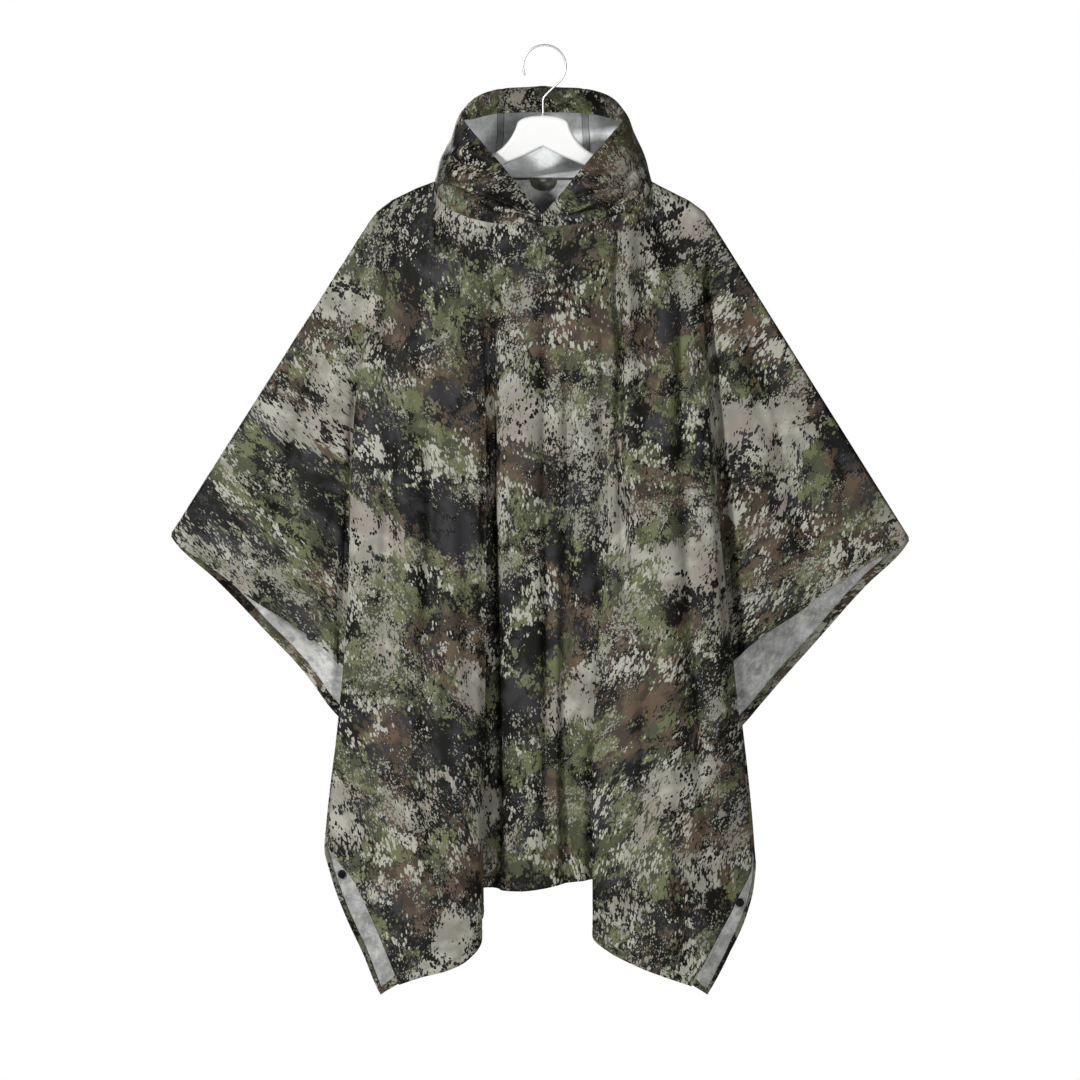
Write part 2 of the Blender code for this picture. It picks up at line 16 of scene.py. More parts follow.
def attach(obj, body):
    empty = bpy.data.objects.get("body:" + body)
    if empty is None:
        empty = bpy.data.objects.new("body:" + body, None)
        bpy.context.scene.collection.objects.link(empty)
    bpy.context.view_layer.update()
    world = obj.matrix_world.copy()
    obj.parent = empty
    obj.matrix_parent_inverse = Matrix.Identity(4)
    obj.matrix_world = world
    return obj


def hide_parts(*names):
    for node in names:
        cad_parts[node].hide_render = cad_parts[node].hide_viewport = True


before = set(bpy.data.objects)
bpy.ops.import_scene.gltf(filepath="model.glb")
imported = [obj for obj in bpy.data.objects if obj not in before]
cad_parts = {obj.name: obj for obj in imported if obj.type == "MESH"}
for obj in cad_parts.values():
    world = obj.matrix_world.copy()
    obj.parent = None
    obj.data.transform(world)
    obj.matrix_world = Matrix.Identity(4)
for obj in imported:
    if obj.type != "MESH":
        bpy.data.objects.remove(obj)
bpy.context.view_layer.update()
scene = bpy.context.scene

# ---------------------------------------------------------------- shoulder line
# The poncho's top edge, which the hanger's arms follow: from the side of the neck
# hole over the arm's end to the tip of the wing, one run for each side.

MM = 0.001
CLOTH = 1.5
SHOULDER = {
    -1: ((0, -189), (153, -190), (177, -199), (212, -216), (233, -232), (246, -249),
         (520, -681)),
    1: ((0, -189), (153, -190), (170, -199), (204, -216), (226, -232), (238, -249),
        (512, -687)),
}


def shoulder_z(x):
    """Height of the shoulder line at x."""
    widths, heights = zip(*SHOULDER[-1 if x < 0 else 1])
    return float(np.interp(abs(x), widths, heights))


def unit(vectors):
    """Vectors brought to length one."""
    return vectors / np.maximum(np.linalg.norm(vectors, axis=-1, keepdims=True), 1e-9)


def run_along(line):
    """How far each point of a line lies from its start, along the line."""
    return np.concatenate([[0], np.cumsum(np.linalg.norm(np.diff(line, axis=0), axis=1))])


def smoothed(mesh, angle):
    """The mesh shaded smooth, but for edges sharper than an angle in degrees."""
    mesh.shade_smooth()
    mesh.set_sharp_from_angle(angle=math.radians(angle))
    return mesh


def new_mesh(name, verts, faces, smooth_angle=40):
    """A mesh in metres from points in millimetres, smooth but for its sharp edges."""
    mesh = bpy.data.meshes.new(name)
    mesh.from_pydata((np.asarray(verts, float) * MM).tolist(), [], faces)
    mesh.validate()
    return smoothed(mesh, smooth_angle)


def in_scene(name, data):
    """A new object in the scene."""
    thing = bpy.data.objects.new(name, data)
    scene.collection.objects.link(thing)
    return thing


def new_piece(name, mesh, slot, *materials, stands_for=None):
    """A piece at the origin that rides on the garment, with its materials. Its slot is not used."""
    piece = in_scene(name, mesh)
    for material in materials:
        mesh.materials.append(material)
    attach(piece, "root")
    if stands_for:
        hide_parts(stands_for)
    return piece


def baked(thing):
    """The thing as the viewport shows it, as a plain mesh, with the thing removed."""
    graph = bpy.context.evaluated_depsgraph_get()
    mesh = bpy.data.meshes.new_from_object(thing.evaluated_get(graph))
    bpy.data.objects.remove(thing, do_unlink=True)
    return mesh


def shader_tree(name):
    """A new material, its node tree and its shader."""
    material = bpy.data.materials.new(name)
    material.use_nodes = True
    return material, material.node_tree, material.node_tree.nodes["Principled BSDF"]


def put(tree, kind, inputs=None, **settings):
    """A node with its settings made and its inputs set or linked."""
    node = tree.nodes.new(kind)
    for name, value in settings.items():
        setattr(node, name, value)
    for socket, value in (inputs or {}).items():
        if isinstance(value, bpy.types.NodeSocket):
            tree.links.new(value, node.inputs[socket])
        else:
            node.inputs[socket].default_value = value
    return node


def math_node(tree, operation, a, b=0.0, c=0.0):
    """The value of one sum on two or three numbers or links."""
    return put(tree, "ShaderNodeMath", {0: a, 1: b, 2: c}, operation=operation).outputs[0]


def blend_colour(tree, factor, a, b):
    """Colour a where factor is 0, b where it is 1."""
    node = put(tree, "ShaderNodeMix", {0: factor, 6: a, 7: b}, data_type="RGBA")
    return node.outputs[2]


def object_space(tree):
    """Places on the object itself, in metres."""
    return put(tree, "ShaderNodeTexCoord").outputs["Object"]


def cloudy(tree, place, scale, detail):
    """A number between 0 and 1 that wanders over the surface."""
    return put(tree, "ShaderNodeTexNoise",
               {"Vector": place, "Scale": scale, "Detail": detail}).outputs[0]


def cut_between(tree, value, low, high):
    """0 up to low, 1 from high on, and even in between."""
    return put(tree, "ShaderNodeMapRange", {"Value": value, 1: low, 2: high}).outputs[0]


def laid_between(tree, value, low, high):
    """A number from 0 to 1 laid out from low to high."""
    return put(tree, "ShaderNodeMapRange", {"Value": value, 3: low, 4: high}).outputs[0]


def surface(tree, shader, colour, roughness, height, strength, distance):
    """Set a shader's colour, its roughness, as a number or a mask, and its bump."""
    tree.links.new(colour, shader.inputs["Base Color"])
    if isinstance(roughness, bpy.types.NodeSocket):
        tree.links.new(roughness, shader.inputs["Roughness"])
    else:
        shader.inputs["Roughness"].default_value = roughness
    node = put(tree, "ShaderNodeBump", {"Height": height, "Strength": strength,
                                        "Distance": distance})
    tree.links.new(node.outputs["Normal"], shader.inputs["Normal"])


# ---------------------------------------------------------------- hanger
# A flat board of beech, cut to its outline and rounded over along both faces, then
# sprayed with white satin paint. Its arms carry the poncho along the shoulders.

HANGER_THICK = 12.0
HANGER_REST = 2.3
HANGER_ROUND, HANGER_STEPS = 4.5, 6
HANGER_ARM = (167.0, 178.0, 190.0, 205.0, 216.0, 223.0)
HANGER_TOP = ((0.0, -97.0), (20.0, -99.0), (34.0, -105.0), (39.0, -117.0), (47.0, -131.0),
              (59.0, -144.0), (72.0, -152.0), (108.0, -172.5), (146.0, -194.5))
HANGER_UNDER = ((223.0, -246.0), (217.0, -252.0), (206.0, -249.0), (150.0, -219.0),
                (100.0, -191.0), (56.0, -166.5), (24.0, -153.0), (0.0, -141.0))


def smooth_run(points, steps):
    """A centripetal curve through uneven points, with its end points kept."""
    points = [Vector(p) for p in points]
    before = [points[0] * 2 - points[1]] + points[:-1]
    after = points[1:] + [points[-1] * 2 - points[-2]]
    run = []
    for at in range(len(points) - 1):
        p = (before[at], points[at], points[at + 1], after[at + 1])
        knots = [0.0]
        for a, b in zip(p, p[1:]):
            knots.append(knots[-1] + max((b - a).length, 1e-6) ** 0.5)
        for step in range(steps):
            t = knots[1] + (knots[2] - knots[1]) * step / steps
            a = [p[i].lerp(p[i + 1], (t - knots[i]) / (knots[i + 1] - knots[i])) for i in range(3)]
            b = [a[i].lerp(a[i + 1], (t - knots[i]) / (knots[i + 2] - knots[i])) for i in range(2)]
            run.append(b[0].lerp(b[1], (t - knots[1]) / (knots[2] - knots[1])))
    return run + [points[-1]]


def hanger_half(hand):
    """One half of the board's outline, from the middle of its top round to its underside."""
    arm = [(x, shoulder_z(hand * x) - CLOTH - HANGER_REST) for x in HANGER_ARM]
    top = smooth_run([(x, z) for x, z in HANGER_TOP] + arm, 4)
    end = smooth_run([arm[-1]] + list(HANGER_UNDER[:3]), 4)
    under = smooth_run(HANGER_UNDER[2:], 5)
    return [Vector((hand * p.x, p.y)) for p in top + end[1:] + under[1:]]


def rounded_board(outline, thick, round_by, steps):
    """Points and faces of a flat board whose two faces are rounded over at the edge."""
    count = len(outline)
    plan = np.array([(p.x, p.y) for p in outline])
    run = np.roll(plan, -1, 0) - np.roll(plan, 1, 0)
    inward = np.stack([-run[:, 1], run[:, 0]], 1) / np.linalg.norm(run, axis=1)[:, None]
    area = np.sum(plan[:, 0] * np.roll(plan[:, 1], -1) - np.roll(plan[:, 0], -1) * plan[:, 1])
    inward *= np.sign(area)
    quarter = [math.radians(90 * i / steps) for i in range(steps + 1)]
    half = [(round_by * (1 - math.sin(a)), thick / 2 - round_by * (1 - math.cos(a)))
            for a in quarter]
    rings = [(inset, -y) for inset, y in half] + [(inset, y) for inset, y in half[::-1]]
    verts, faces = [], []
    for inset, y in rings:
        edge = plan + inward * inset
        verts += [(x, y, z) for x, z in edge]
    for ring in range(len(rings) - 1):
        for i in range(count):
            j, low, high = (i + 1) % count, ring * count, (ring + 1) * count
            faces.append((low + i, low + j, high + j, high + i))
    faces.append(tuple(range(count)))
    faces.append(tuple(range((len(rings) - 1) * count, len(rings) * count)))
    return verts, faces


def outward(mesh):
    """The mesh with all its faces turned out."""
    shape = bmesh.new()
    shape.from_mesh(mesh)
    bmesh.ops.recalc_face_normals(shape, faces=shape.faces)
    shape.to_mesh(mesh)
    shape.free()
    return mesh


hanger_outline = hanger_half(1) + hanger_half(-1)[-2:0:-1]
mesh = outward(new_mesh("hanger_board", *rounded_board(
    hanger_outline, HANGER_THICK, HANGER_ROUND, HANGER_STEPS)))

white_paint, tree, shader = shader_tree("white_paint")
place = object_space(tree)
stretched = put(tree, "ShaderNodeMapping", {"Vector": place, "Scale": (12, 300, 300)}).outputs[0]
spray = cloudy(tree, place, 900.0, 2.0)
surface(tree, shader,
        blend_colour(tree, cloudy(tree, place, 14.0, 3.0),
                     (0.86, 0.86, 0.845, 1), (0.80, 0.80, 0.785, 1)),
        laid_between(tree, spray, 0.34, 0.46),
        math_node(tree, "MULTIPLY_ADD", cloudy(tree, stretched, 1.0, 4.0), 0.6, spray),
        0.06, 0.0004)
new_piece("hanger_board", mesh, "white_paint", white_paint, stands_for="hanger")

# ---------------------------------------------------------------- hook
# One length of plated steel wire, bent round a peg at the top and screwed into the
# board's middle through a small pressed collar.

WIRE = 2.8
HOOK_RADIUS = 28.5
HOOK_X = 2.0
HOOK_ENTRY, HOOK_END = -42.0, 205.0
HOOK_STEPS = 30
SHANK_TOP, SHANK_FOOT = -73.0, -96.7
COLLAR_PROFILE = ((1.5, 0.0), (4.2, 0.0), (4.2, 0.5), (2.6, 1.5), (1.9, 2.0), (1.5, 2.0))
COLLAR_TURNS = 24

hook_centre = Vector((HOOK_X, 0, -HOOK_RADIUS))
bends = [(0, 0, SHANK_FOOT), (0, 0, SHANK_FOOT + 8)]
bends += [(x, 0, SHANK_TOP + up) for x, up in ((0, -5), (0.5, -0.8), (2.2, 2.4), (9, 9.6))]
for step in range(HOOK_STEPS):
    angle = math.radians(HOOK_ENTRY + (HOOK_END - HOOK_ENTRY) * step / (HOOK_STEPS - 1))
    bends.append(hook_centre + Vector((math.cos(angle), 0, math.sin(angle)))
                 * (HOOK_RADIUS + WIRE / 2))
path = smooth_run(bends, 4)
curve = bpy.data.curves.new("hook_wire", "CURVE")
curve.dimensions = "3D"
curve.bevel_depth = WIRE / 2 * MM
curve.bevel_resolution = 5
curve.use_fill_caps = True
spline = curve.splines.new("POLY")
spline.points.add(len(path) - 1)
for at, (point, spot) in enumerate(zip(spline.points, path)):
    point.co = (*(spot * MM), 1)
    point.radius = min(1.0, 0.35 + 0.35 * (len(path) - 1 - at))
mesh = baked(in_scene("hook_wire", curve))
shape = bmesh.new()
shape.from_mesh(mesh)
bmesh.ops.remove_doubles(shape, verts=shape.verts, dist=1e-6)
turns = [math.tau * i / COLLAR_TURNS for i in range(COLLAR_TURNS)]
rings = [[shape.verts.new((r * MM * math.cos(a), r * MM * math.sin(a), (SHANK_FOOT + h) * MM))
          for a in turns] for r, h in COLLAR_PROFILE]
for low, high in zip(rings, rings[1:] + rings[:1]):
    for i in range(COLLAR_TURNS):
        j = (i + 1) % COLLAR_TURNS
        shape.faces.new((low[i], low[j], high[j], high[i]))
bmesh.ops.recalc_face_normals(shape, faces=shape.faces)
shape.to_mesh(mesh)
shape.free()
smoothed(mesh, 35).materials.clear()

plated_steel, tree, shader = shader_tree("plated_steel")
scuffs = cloudy(tree, object_space(tree), 420.0, 4.0)
surface(tree, shader,
        blend_colour(tree, scuffs, (0.86, 0.86, 0.85, 1), (0.70, 0.70, 0.70, 1)),
        laid_between(tree, scuffs, 0.38, 0.55), scuffs, 0.05, 0.0002)
shader.inputs["Metallic"].default_value = 1.0
new_piece("hook_wire", mesh, "wire", plated_steel, stands_for="hook")

# ---------------------------------------------------------------- camouflage print
# The cloth's outer face: light woven polyester, printed in stone, brown, green and
# charcoal. Patches break up at their edges into flecks a few millimetres long.

STONE, PALE = (0.228, 0.222, 0.184, 1), (0.355, 0.350, 0.298, 1)
PINKISH = (0.250, 0.224, 0.192, 1)
CHARCOAL, BLACK = (0.029, 0.029, 0.032, 1), (0.0050, 0.0048, 0.0040, 1)
BROWN, UMBER = (0.098, 0.070, 0.046, 1), (0.050, 0.037, 0.027, 1)
GREEN, MOSS = (0.118, 0.129, 0.062, 1), (0.058, 0.064, 0.036, 1)
PICK = 0.00045      # one thread of the weave, in metres


def cloth_space(tree):
    """Places on the flat cloth, in metres."""
    return put(tree, "ShaderNodeUVMap", uv_map="Cloth").outputs[0]


def camouflage_group():
    """Node group: a place on the cloth in, the print's colour out."""
    group = bpy.data.node_groups.new("camouflage_print", "ShaderNodeTree")
    group.interface.new_socket("Place", in_out="INPUT", socket_type="NodeSocketVector")
    group.interface.new_socket("Colour", in_out="OUTPUT", socket_type="NodeSocketColor")
    place = put(group, "NodeGroupInput").outputs["Place"]

    def vectors(operation, a, b):
        """One sum on two vectors, or on a vector and a number."""
        second = "Scale" if operation == "SCALE" else 1
        return put(group, "ShaderNodeVectorMath", {0: a, second: b},
                   operation=operation).outputs[0]

    def field(scale, offset, detail=3.0):
        """Soft patches: a number that wanders either side of nought."""
        shifted = vectors("ADD", drifted, (offset, offset * 0.7, 0))
        even = put(group, "ShaderNodeTexNoise", {
            "Vector": shifted, "Scale": scale, "Detail": detail, "Roughness": 0.55},
            noise_dimensions="2D").outputs[0]
        return math_node(group, "SUBTRACT", even, 0.5)

    def flecks(size, stretch, turn, offset):
        """Rounded flecks: each one's own luck less its distance from its middle."""
        laid = put(group, "ShaderNodeMapping", {
            "Vector": ragged, "Location": (offset, offset, 0), "Rotation": (0, 0, turn),
            "Scale": (1 / size, 1 / (size * stretch), 1)}).outputs[0]
        cells = put(group, "ShaderNodeTexVoronoi", {"Vector": laid, "Scale": 1.0},
                    voronoi_dimensions="2D")
        luck = put(group, "ShaderNodeSeparateColor", {0: cells.outputs["Color"]}).outputs[0]
        return math_node(group, "SUBTRACT", luck, cells.outputs["Distance"])

    def over(value, low, high):
        """1 where a value is over a limit, with a soft edge from low to high."""
        return cut_between(group, value, low, high)

    def either(choice, a, b):
        """Number a where choice is 0, b where it is 1."""
        return put(group, "ShaderNodeMix", {0: choice, 2: a, 3: b}).outputs[0]

    def moved(by, scale, amount, detail):
        """Places pushed about at random, by up to half the amount either way."""
        pull = put(group, "ShaderNodeTexNoise", {"Vector": by, "Scale": scale, "Detail": detail},
                   noise_dimensions="2D").outputs["Color"]
        pull = vectors("SUBTRACT", pull, (0.5, 0.5, 0.5))
        return vectors("ADD", by, vectors("SCALE", pull, amount))

    def spread(values, weight, base):
        """A base with some of other values added."""
        return math_node(group, "MULTIPLY_ADD", values, weight, base)

    drifted = moved(place, 6.0, 0.030, 2.0)
    ragged = moved(drifted, 260.0, 0.0022, 2.0)

    # flecks run one way in one stretch of cloth and another way in the next
    way = over(field(9.0, 31.0, 1.0), -0.02, 0.02)
    run = either(way, flecks(0.0035, 2.3, 0.25, 3.1), flecks(0.0033, 2.3, -1.05, 7.7))
    fine = flecks(0.0025, 1.4, 0.7, 1.3)
    chip = flecks(0.0046, 1.4, -0.4, 5.9)
    clump = field(48.0, 97.0, 2.0)

    # ground: umber and brown over charcoal, then moss and green
    brown_at = spread(run, 0.10, field(6.6, 2.0, 4.0))
    green_at = spread(run, 0.10, field(8.0, 11.0, 4.0))
    deep = blend_colour(group, over(field(17.0, 17.0), -0.10, 0.08), CHARCOAL, BLACK)
    earth = blend_colour(group, over(field(26.0, 23.0), -0.05, 0.05), UMBER, BROWN)
    leaf = blend_colour(group, over(spread(fine, 0.12, field(30.0, 5.0)), 0.010, 0.022),
                        MOSS, GREEN)
    ground = blend_colour(group, over(brown_at, 0.020, 0.032), deep, earth)
    ground = blend_colour(group, over(green_at, 0.060, 0.072), ground, leaf)

    # black flecks in the ground, then pale and green ones that thicken in places
    dark_at = spread(fine, 0.16, spread(clump, 0.6, field(14.0, 41.0, 2.0)))
    ground = blend_colour(group, over(dark_at, 0.052, 0.062), ground, BLACK)
    moss_at = spread(chip, 0.20, spread(clump, 0.4, field(13.0, 59.0, 2.0)))
    ground = blend_colour(group, over(moss_at, 0.135, 0.145), ground, leaf)
    dust_at = spread(fine, 0.30, spread(clump, 0.5, field(10.0, 67.0, 3.0)))
    speck_at = spread(run, 0.26, spread(clump, 0.5, field(11.0, 73.0, 3.0)))
    stone = blend_colour(group, over(field(22.0, 71.0), -0.08, 0.10), STONE, PALE)
    stone = blend_colour(group, over(field(15.0, 79.0), 0.00, 0.14), stone, PINKISH)
    print_on = blend_colour(group, over(dust_at, 0.206, 0.219), ground, STONE)
    print_on = blend_colour(group, over(speck_at, 0.208, 0.220), print_on, PALE)

    # stone patches, with black chips and short dark strokes left in them
    stone_at = spread(run, 0.10, field(5.6, 53.0, 4.0))
    bare = over(spread(chip, 0.30, spread(clump, 0.6, field(13.0, 83.0, 2.0))), 0.210, 0.220)
    stroke = over(spread(run, 0.30, spread(clump, 0.6, field(18.0, 89.0, 2.0))), 0.236, 0.246)
    stone = blend_colour(group, bare, stone, BLACK)
    stone = blend_colour(group, stroke, stone, deep)
    print_on = blend_colour(group, over(stone_at, 0.080, 0.092), print_on, stone)
    put(group, "NodeGroupOutput", {"Colour": print_on})
    return group


def cloth_relief_group():
    """Node group: a place on the cloth in, the height of its weave and crumple out."""
    group = bpy.data.node_groups.new("cloth_relief", "ShaderNodeTree")
    group.interface.new_socket("Place", in_out="INPUT", socket_type="NodeSocketVector")
    group.interface.new_socket("Crumple", in_out="INPUT", socket_type="NodeSocketFloat")
    group.interface.new_socket("Height", in_out="OUTPUT", socket_type="NodeSocketFloat")
    ends = put(group, "NodeGroupInput")
    place = ends.outputs["Place"]
    warp, weft = (put(group, "ShaderNodeTexWave", {"Vector": place, "Scale": 1 / (PICK * 20)},
                      bands_direction=direction, wave_profile="SIN").outputs["Fac"]
                  for direction in ("X", "Y"))
    weave = math_node(group, "MULTIPLY", warp, weft)
    soft = put(group, "ShaderNodeTexNoise", {"Vector": place, "Scale": 26.0, "Detail": 5.0,
                                             "Roughness": 0.5, "Distortion": 0.6},
               noise_dimensions="2D").outputs[0]
    long = put(group, "ShaderNodeMapping", {"Vector": place, "Scale": (30, 7, 1)}).outputs[0]
    long = put(group, "ShaderNodeTexNoise", {"Vector": long, "Scale": 1.0, "Detail": 3.0},
               noise_dimensions="2D").outputs[0]
    creases = math_node(group, "ADD", soft, long)
    creases = math_node(group, "MULTIPLY", creases, ends.outputs["Crumple"])
    height = math_node(group, "MULTIPLY_ADD", weave, 0.035, creases)
    put(group, "NodeGroupOutput", {"Height": height})
    return group


camouflage_print = camouflage_group()
cloth_relief = cloth_relief_group()


def camouflage_colour(tree, place):
    """The print's colour at a place on the cloth."""
    return put(tree, "ShaderNodeGroup", {"Place": place},
               node_tree=camouflage_print).outputs["Colour"]


def cloth_height(tree, place, crumple):
    """The height of weave and crumple at a place on the cloth."""
    return put(tree, "ShaderNodeGroup", {"Place": place, "Crumple": crumple},
               node_tree=cloth_relief).outputs["Height"]


camouflage, tree, shader = shader_tree("camouflage")
place = cloth_space(tree)
surface(tree, shader, camouflage_colour(tree, place), 0.6,
        cloth_height(tree, place, 1.0), 0.5, 0.0016)
shader.inputs["Specular IOR Level"].default_value = 0.15

# ---------------------------------------------------------------- coated back
# The cloth's inner face: a thin grey coating that keeps the rain out. The print
# shows through it as a faint mottling.

def coating(name, dull, bright, roughness):
    """The coated face: greys that follow clouds and, faintly, the print behind them."""
    material, tree, shader = shader_tree(name)
    place = cloth_space(tree)
    cloud = put(tree, "ShaderNodeTexNoise", {"Vector": place, "Scale": 42.0, "Detail": 7.0,
                                             "Roughness": 0.72}, noise_dimensions="2D").outputs[0]
    cloud = math_node(tree, "MULTIPLY", cut_between(tree, cloud, 0.38, 0.62), 0.64)
    print_on = put(tree, "ShaderNodeRGBToBW", {0: camouflage_colour(tree, place)}).outputs[0]
    shade = math_node(tree, "MULTIPLY_ADD", cut_between(tree, print_on, 0.02, 0.28), 0.36, cloud)
    surface(tree, shader, blend_colour(tree, shade, (*dull, 1), (*bright, 1)), roughness,
            cloth_height(tree, place, 1.3), 0.6, 0.0018)
    shader.inputs["Specular IOR Level"].default_value = 0.35
    return material


grey_coating = coating("grey_coating", (0.275, 0.280, 0.275), (0.690, 0.690, 0.670), 0.6)

# ---------------------------------------------------------------- panels
# Front and back: two rectangles of the printed cloth, joined along the shoulders.
# Each falls from the hanger in a channel down its middle with a lobe on each side,
# and past the hanger's ends in a wing, with a pleat between wing and body.

SHELL, SEAM_GAP = 0.6, 0.3
FRONT, BACK = -1, 1
NECK_HALF, NECK_Z = 153.0, -190.0
NECK_REACH = {FRONT: 58.0, BACK: 40.0}
NECK_DROP, NECK_LIFT = 63.0, 5.0        # of its front's middle and of its back's
NECK_OVAL = 2.6                         # 2 would be an ellipse, more is squarer
NECK_DIP = {-1: 2.4, 1: 2.1}            # the same for its front, left and right
ROLL = 10.5                             # radius of the turn over the shoulder

# A row is one fold line: x at the shoulder, a third of the way down, two thirds
# down and at the foot; depth at the last three of those; the height of the foot.
FRONT_FOLDS = np.array((
    (-520, -520, -520, -520,   0,   1,   2,  -687),     # tip of the left wing
    (-462, -460, -459, -457,   4,   8,  12,  -735),
    (-405, -406, -406, -407,   8,  14,  20,  -774),
    (-350, -352, -354, -356,   8,  12,  16,  -806),
    (-300, -302, -304, -307,   8,  14,  22,  -842),
    (-251, -258, -262, -262,  11,  17,  20,  -892),
    (-245, -254, -242, -214,  15,  21,  25,  -950),     # pleat between wing and body
    (-239, -250, -216, -180,  20,  27,  32,  -995),
    (-233, -254, -240, -232,  25,  33,  39, -1050),
    (-227, -264, -275, -300,  32,  42,  50, -1108),     # edge of the body
    (-219, -250, -258, -263,  42,  58,  68, -1170),
    (-210, -233, -236, -229,  48,  70,  84, -1243),
    (-199, -211, -208, -201,  52,  78,  94, -1311),     # corner of the cloth
    (-181, -183, -179, -171,  54,  82, 102, -1301),
    (-153, -151, -146, -132,  54,  80, 102, -1291),     # side of the neck
    (-121, -115, -109, -102,  52,  71,  92, -1275),
    ( -91,  -82,  -81,  -85,  46,  57,  71, -1247),     # edge of the left lobe
    ( -86,  -82,  -90, -108,  39,  45,  52, -1222),
    ( -81,  -85, -112, -153,  33,  33,  35, -1203),
    ( -77,  -81,  -91, -114,  29,  22,  17, -1188),
    ( -73,  -76,  -76,  -80,  27,  19,  14, -1177),     # channel
    ( -60,  -59,  -56,  -58,  36,  30,  27, -1181),
    ( -39,  -35,  -31,  -29,  43,  41,  42, -1182),
    (  -8,   -7,   -4,   -2,  41,  38,  39, -1179),
    (  12,   11,   12,   16,  40,  33,  34, -1175),
    (  32,   32,   33,   36,  41,  31,  22, -1170),
    (  52,   53,   53,   56,  46,  36,  24, -1168),
    (  69,   73,   72,   76,  49,  38,  14, -1166),
    (  80,   84,   86,  108,  51,  39,  18, -1180),
    (  89,   93,   97,  141,  52,  44,  35, -1200),
    (  97,   99,   82,   98,  53,  52,  54, -1222),
    ( 105,  106,   72,   69,  54,  61,  75, -1243),     # edge of the right lobe
    ( 121,  121,   96,   93,  57,  74,  94, -1266),
    ( 153,  151,  137,  132,  57,  84, 106, -1286),     # side of the neck
    ( 177,  177,  172,  171,  55,  85, 108, -1301),
    ( 196,  203,  205,  207,  52,  80,  98, -1313),     # corner of the cloth
    ( 207,  221,  234,  240,  47,  71,  86, -1253),
    ( 213,  228,  250,  271,  41,  58,  68, -1194),
    ( 219,  234,  263,  291,  32,  42,  50, -1134),     # edge of the body
    ( 226,  219,  236,  236,  25,  33,  39, -1066),
    ( 232,  205,  203,  188,  20,  27,  32, -1000),     # pleat between body and wing
    ( 239,  224,  226,  212,  15,  21,  25,  -946),
    ( 245,  242,  247,  256,  11,  17,  20,  -872),
    ( 295,  297,  299,  301,   8,  14,  22,  -830),
    ( 345,  348,  351,  354,   8,  12,  17,  -795),
    ( 400,  402,  404,  406,   7,  12,  18,  -757),
    ( 456,  457,  458,  459,   4,   7,  10,  -721),
    ( 512,  512,  512,  512,   0,   1,   2,  -693),     # tip of the right wing
), float)
BACK_FOLDS = np.array((
    (-520, -520, -520, -520,   0,   1,   2,  -687),     # tip of the left wing
    (-462, -459, -456, -453,   6,  10,  15,  -752),
    (-405, -402, -399, -396,   9,  17,  26,  -811),
    (-350, -347, -344, -341,  10,  18,  28,  -869),
    (-300, -297, -293, -289,  10,  16,  24,  -936),
    (-251, -254, -252, -246,  12,  18,  21,  -974),
    (-245, -250, -232, -210,  16,  22,  26, -1005),     # pleat between wing and body
    (-239, -246, -212, -180,  21,  28,  33, -1038),
    (-233, -250, -238, -234,  26,  34,  40, -1074),
    (-227, -258, -272, -302,  33,  43,  51, -1112),     # edge of the body
    (-219, -247, -260, -299,  42,  54,  60, -1158),
    (-210, -233, -245, -279,  47,  63,  70, -1215),
    (-202, -220, -231, -253,  50,  69,  78, -1272),
    (-192, -203, -212, -228,  52,  74,  84, -1330),     # corner of the cloth
    (-176, -179, -182, -184,  53,  78,  94, -1304),
    (-153, -150, -145, -138,  54,  76,  96, -1274),     # side of the neck
    (-112, -101,  -90,  -84,  50,  60,  76, -1222),     # edge of the left lobe
    ( -98,  -96,  -97, -102,  46,  44,  50, -1203),
    ( -88,  -90,  -98, -124,  42,  33,  32, -1190),
    ( -79,  -82,  -87, -104,  42,  28,  18, -1176),
    ( -69,  -72,  -74,  -78,  45,  30,  14, -1165),     # channel
    ( -46,  -44,  -42,  -44,  52,  46,  40, -1161),
    ( -12,   -8,   -4,   -2,  58,  60,  64, -1157),
    (  32,   34,   38,   42,  51,  44,  42, -1158),
    (  60,   62,   64,   68,  45,  34,  22, -1161),
    (  84,   86,   88,   94,  46,  42,  36, -1182),
    ( 112,  106,  101,   97,  50,  66,  80, -1218),     # edge of the right lobe
    ( 153,  150,  144,  136,  54,  78,  98, -1272),     # side of the neck
    ( 174,  176,  180,  187,  53,  78,  96, -1304),
    ( 190,  202,  214,  231,  51,  73,  84, -1330),     # corner of the cloth
    ( 201,  218,  232,  264,  49,  68,  77, -1268),
    ( 209,  229,  246,  286,  46,  62,  69, -1219),
    ( 217,  237,  258,  297,  41,  53,  59, -1170),
    ( 224,  242,  267,  292,  32,  42,  50, -1124),     # edge of the body
    ( 230,  228,  238,  236,  26,  34,  40, -1080),
    ( 235,  216,  206,  186,  21,  28,  33, -1040),     # pleat between body and wing
    ( 240,  228,  226,  212,  16,  22,  26, -1006),
    ( 246,  244,  246,  250,  12,  18,  21,  -982),
    ( 295,  292,  288,  284,  10,  17,  25,  -946),
    ( 345,  342,  338,  334,  10,  18,  27,  -888),
    ( 400,  397,  393,  390,   9,  16,  24,  -825),
    ( 456,  453,  450,  447,   6,   9,  14,  -761),
    ( 512,  512,  512,  512,   0,   1,   2,  -693),     # tip of the right wing
), float)

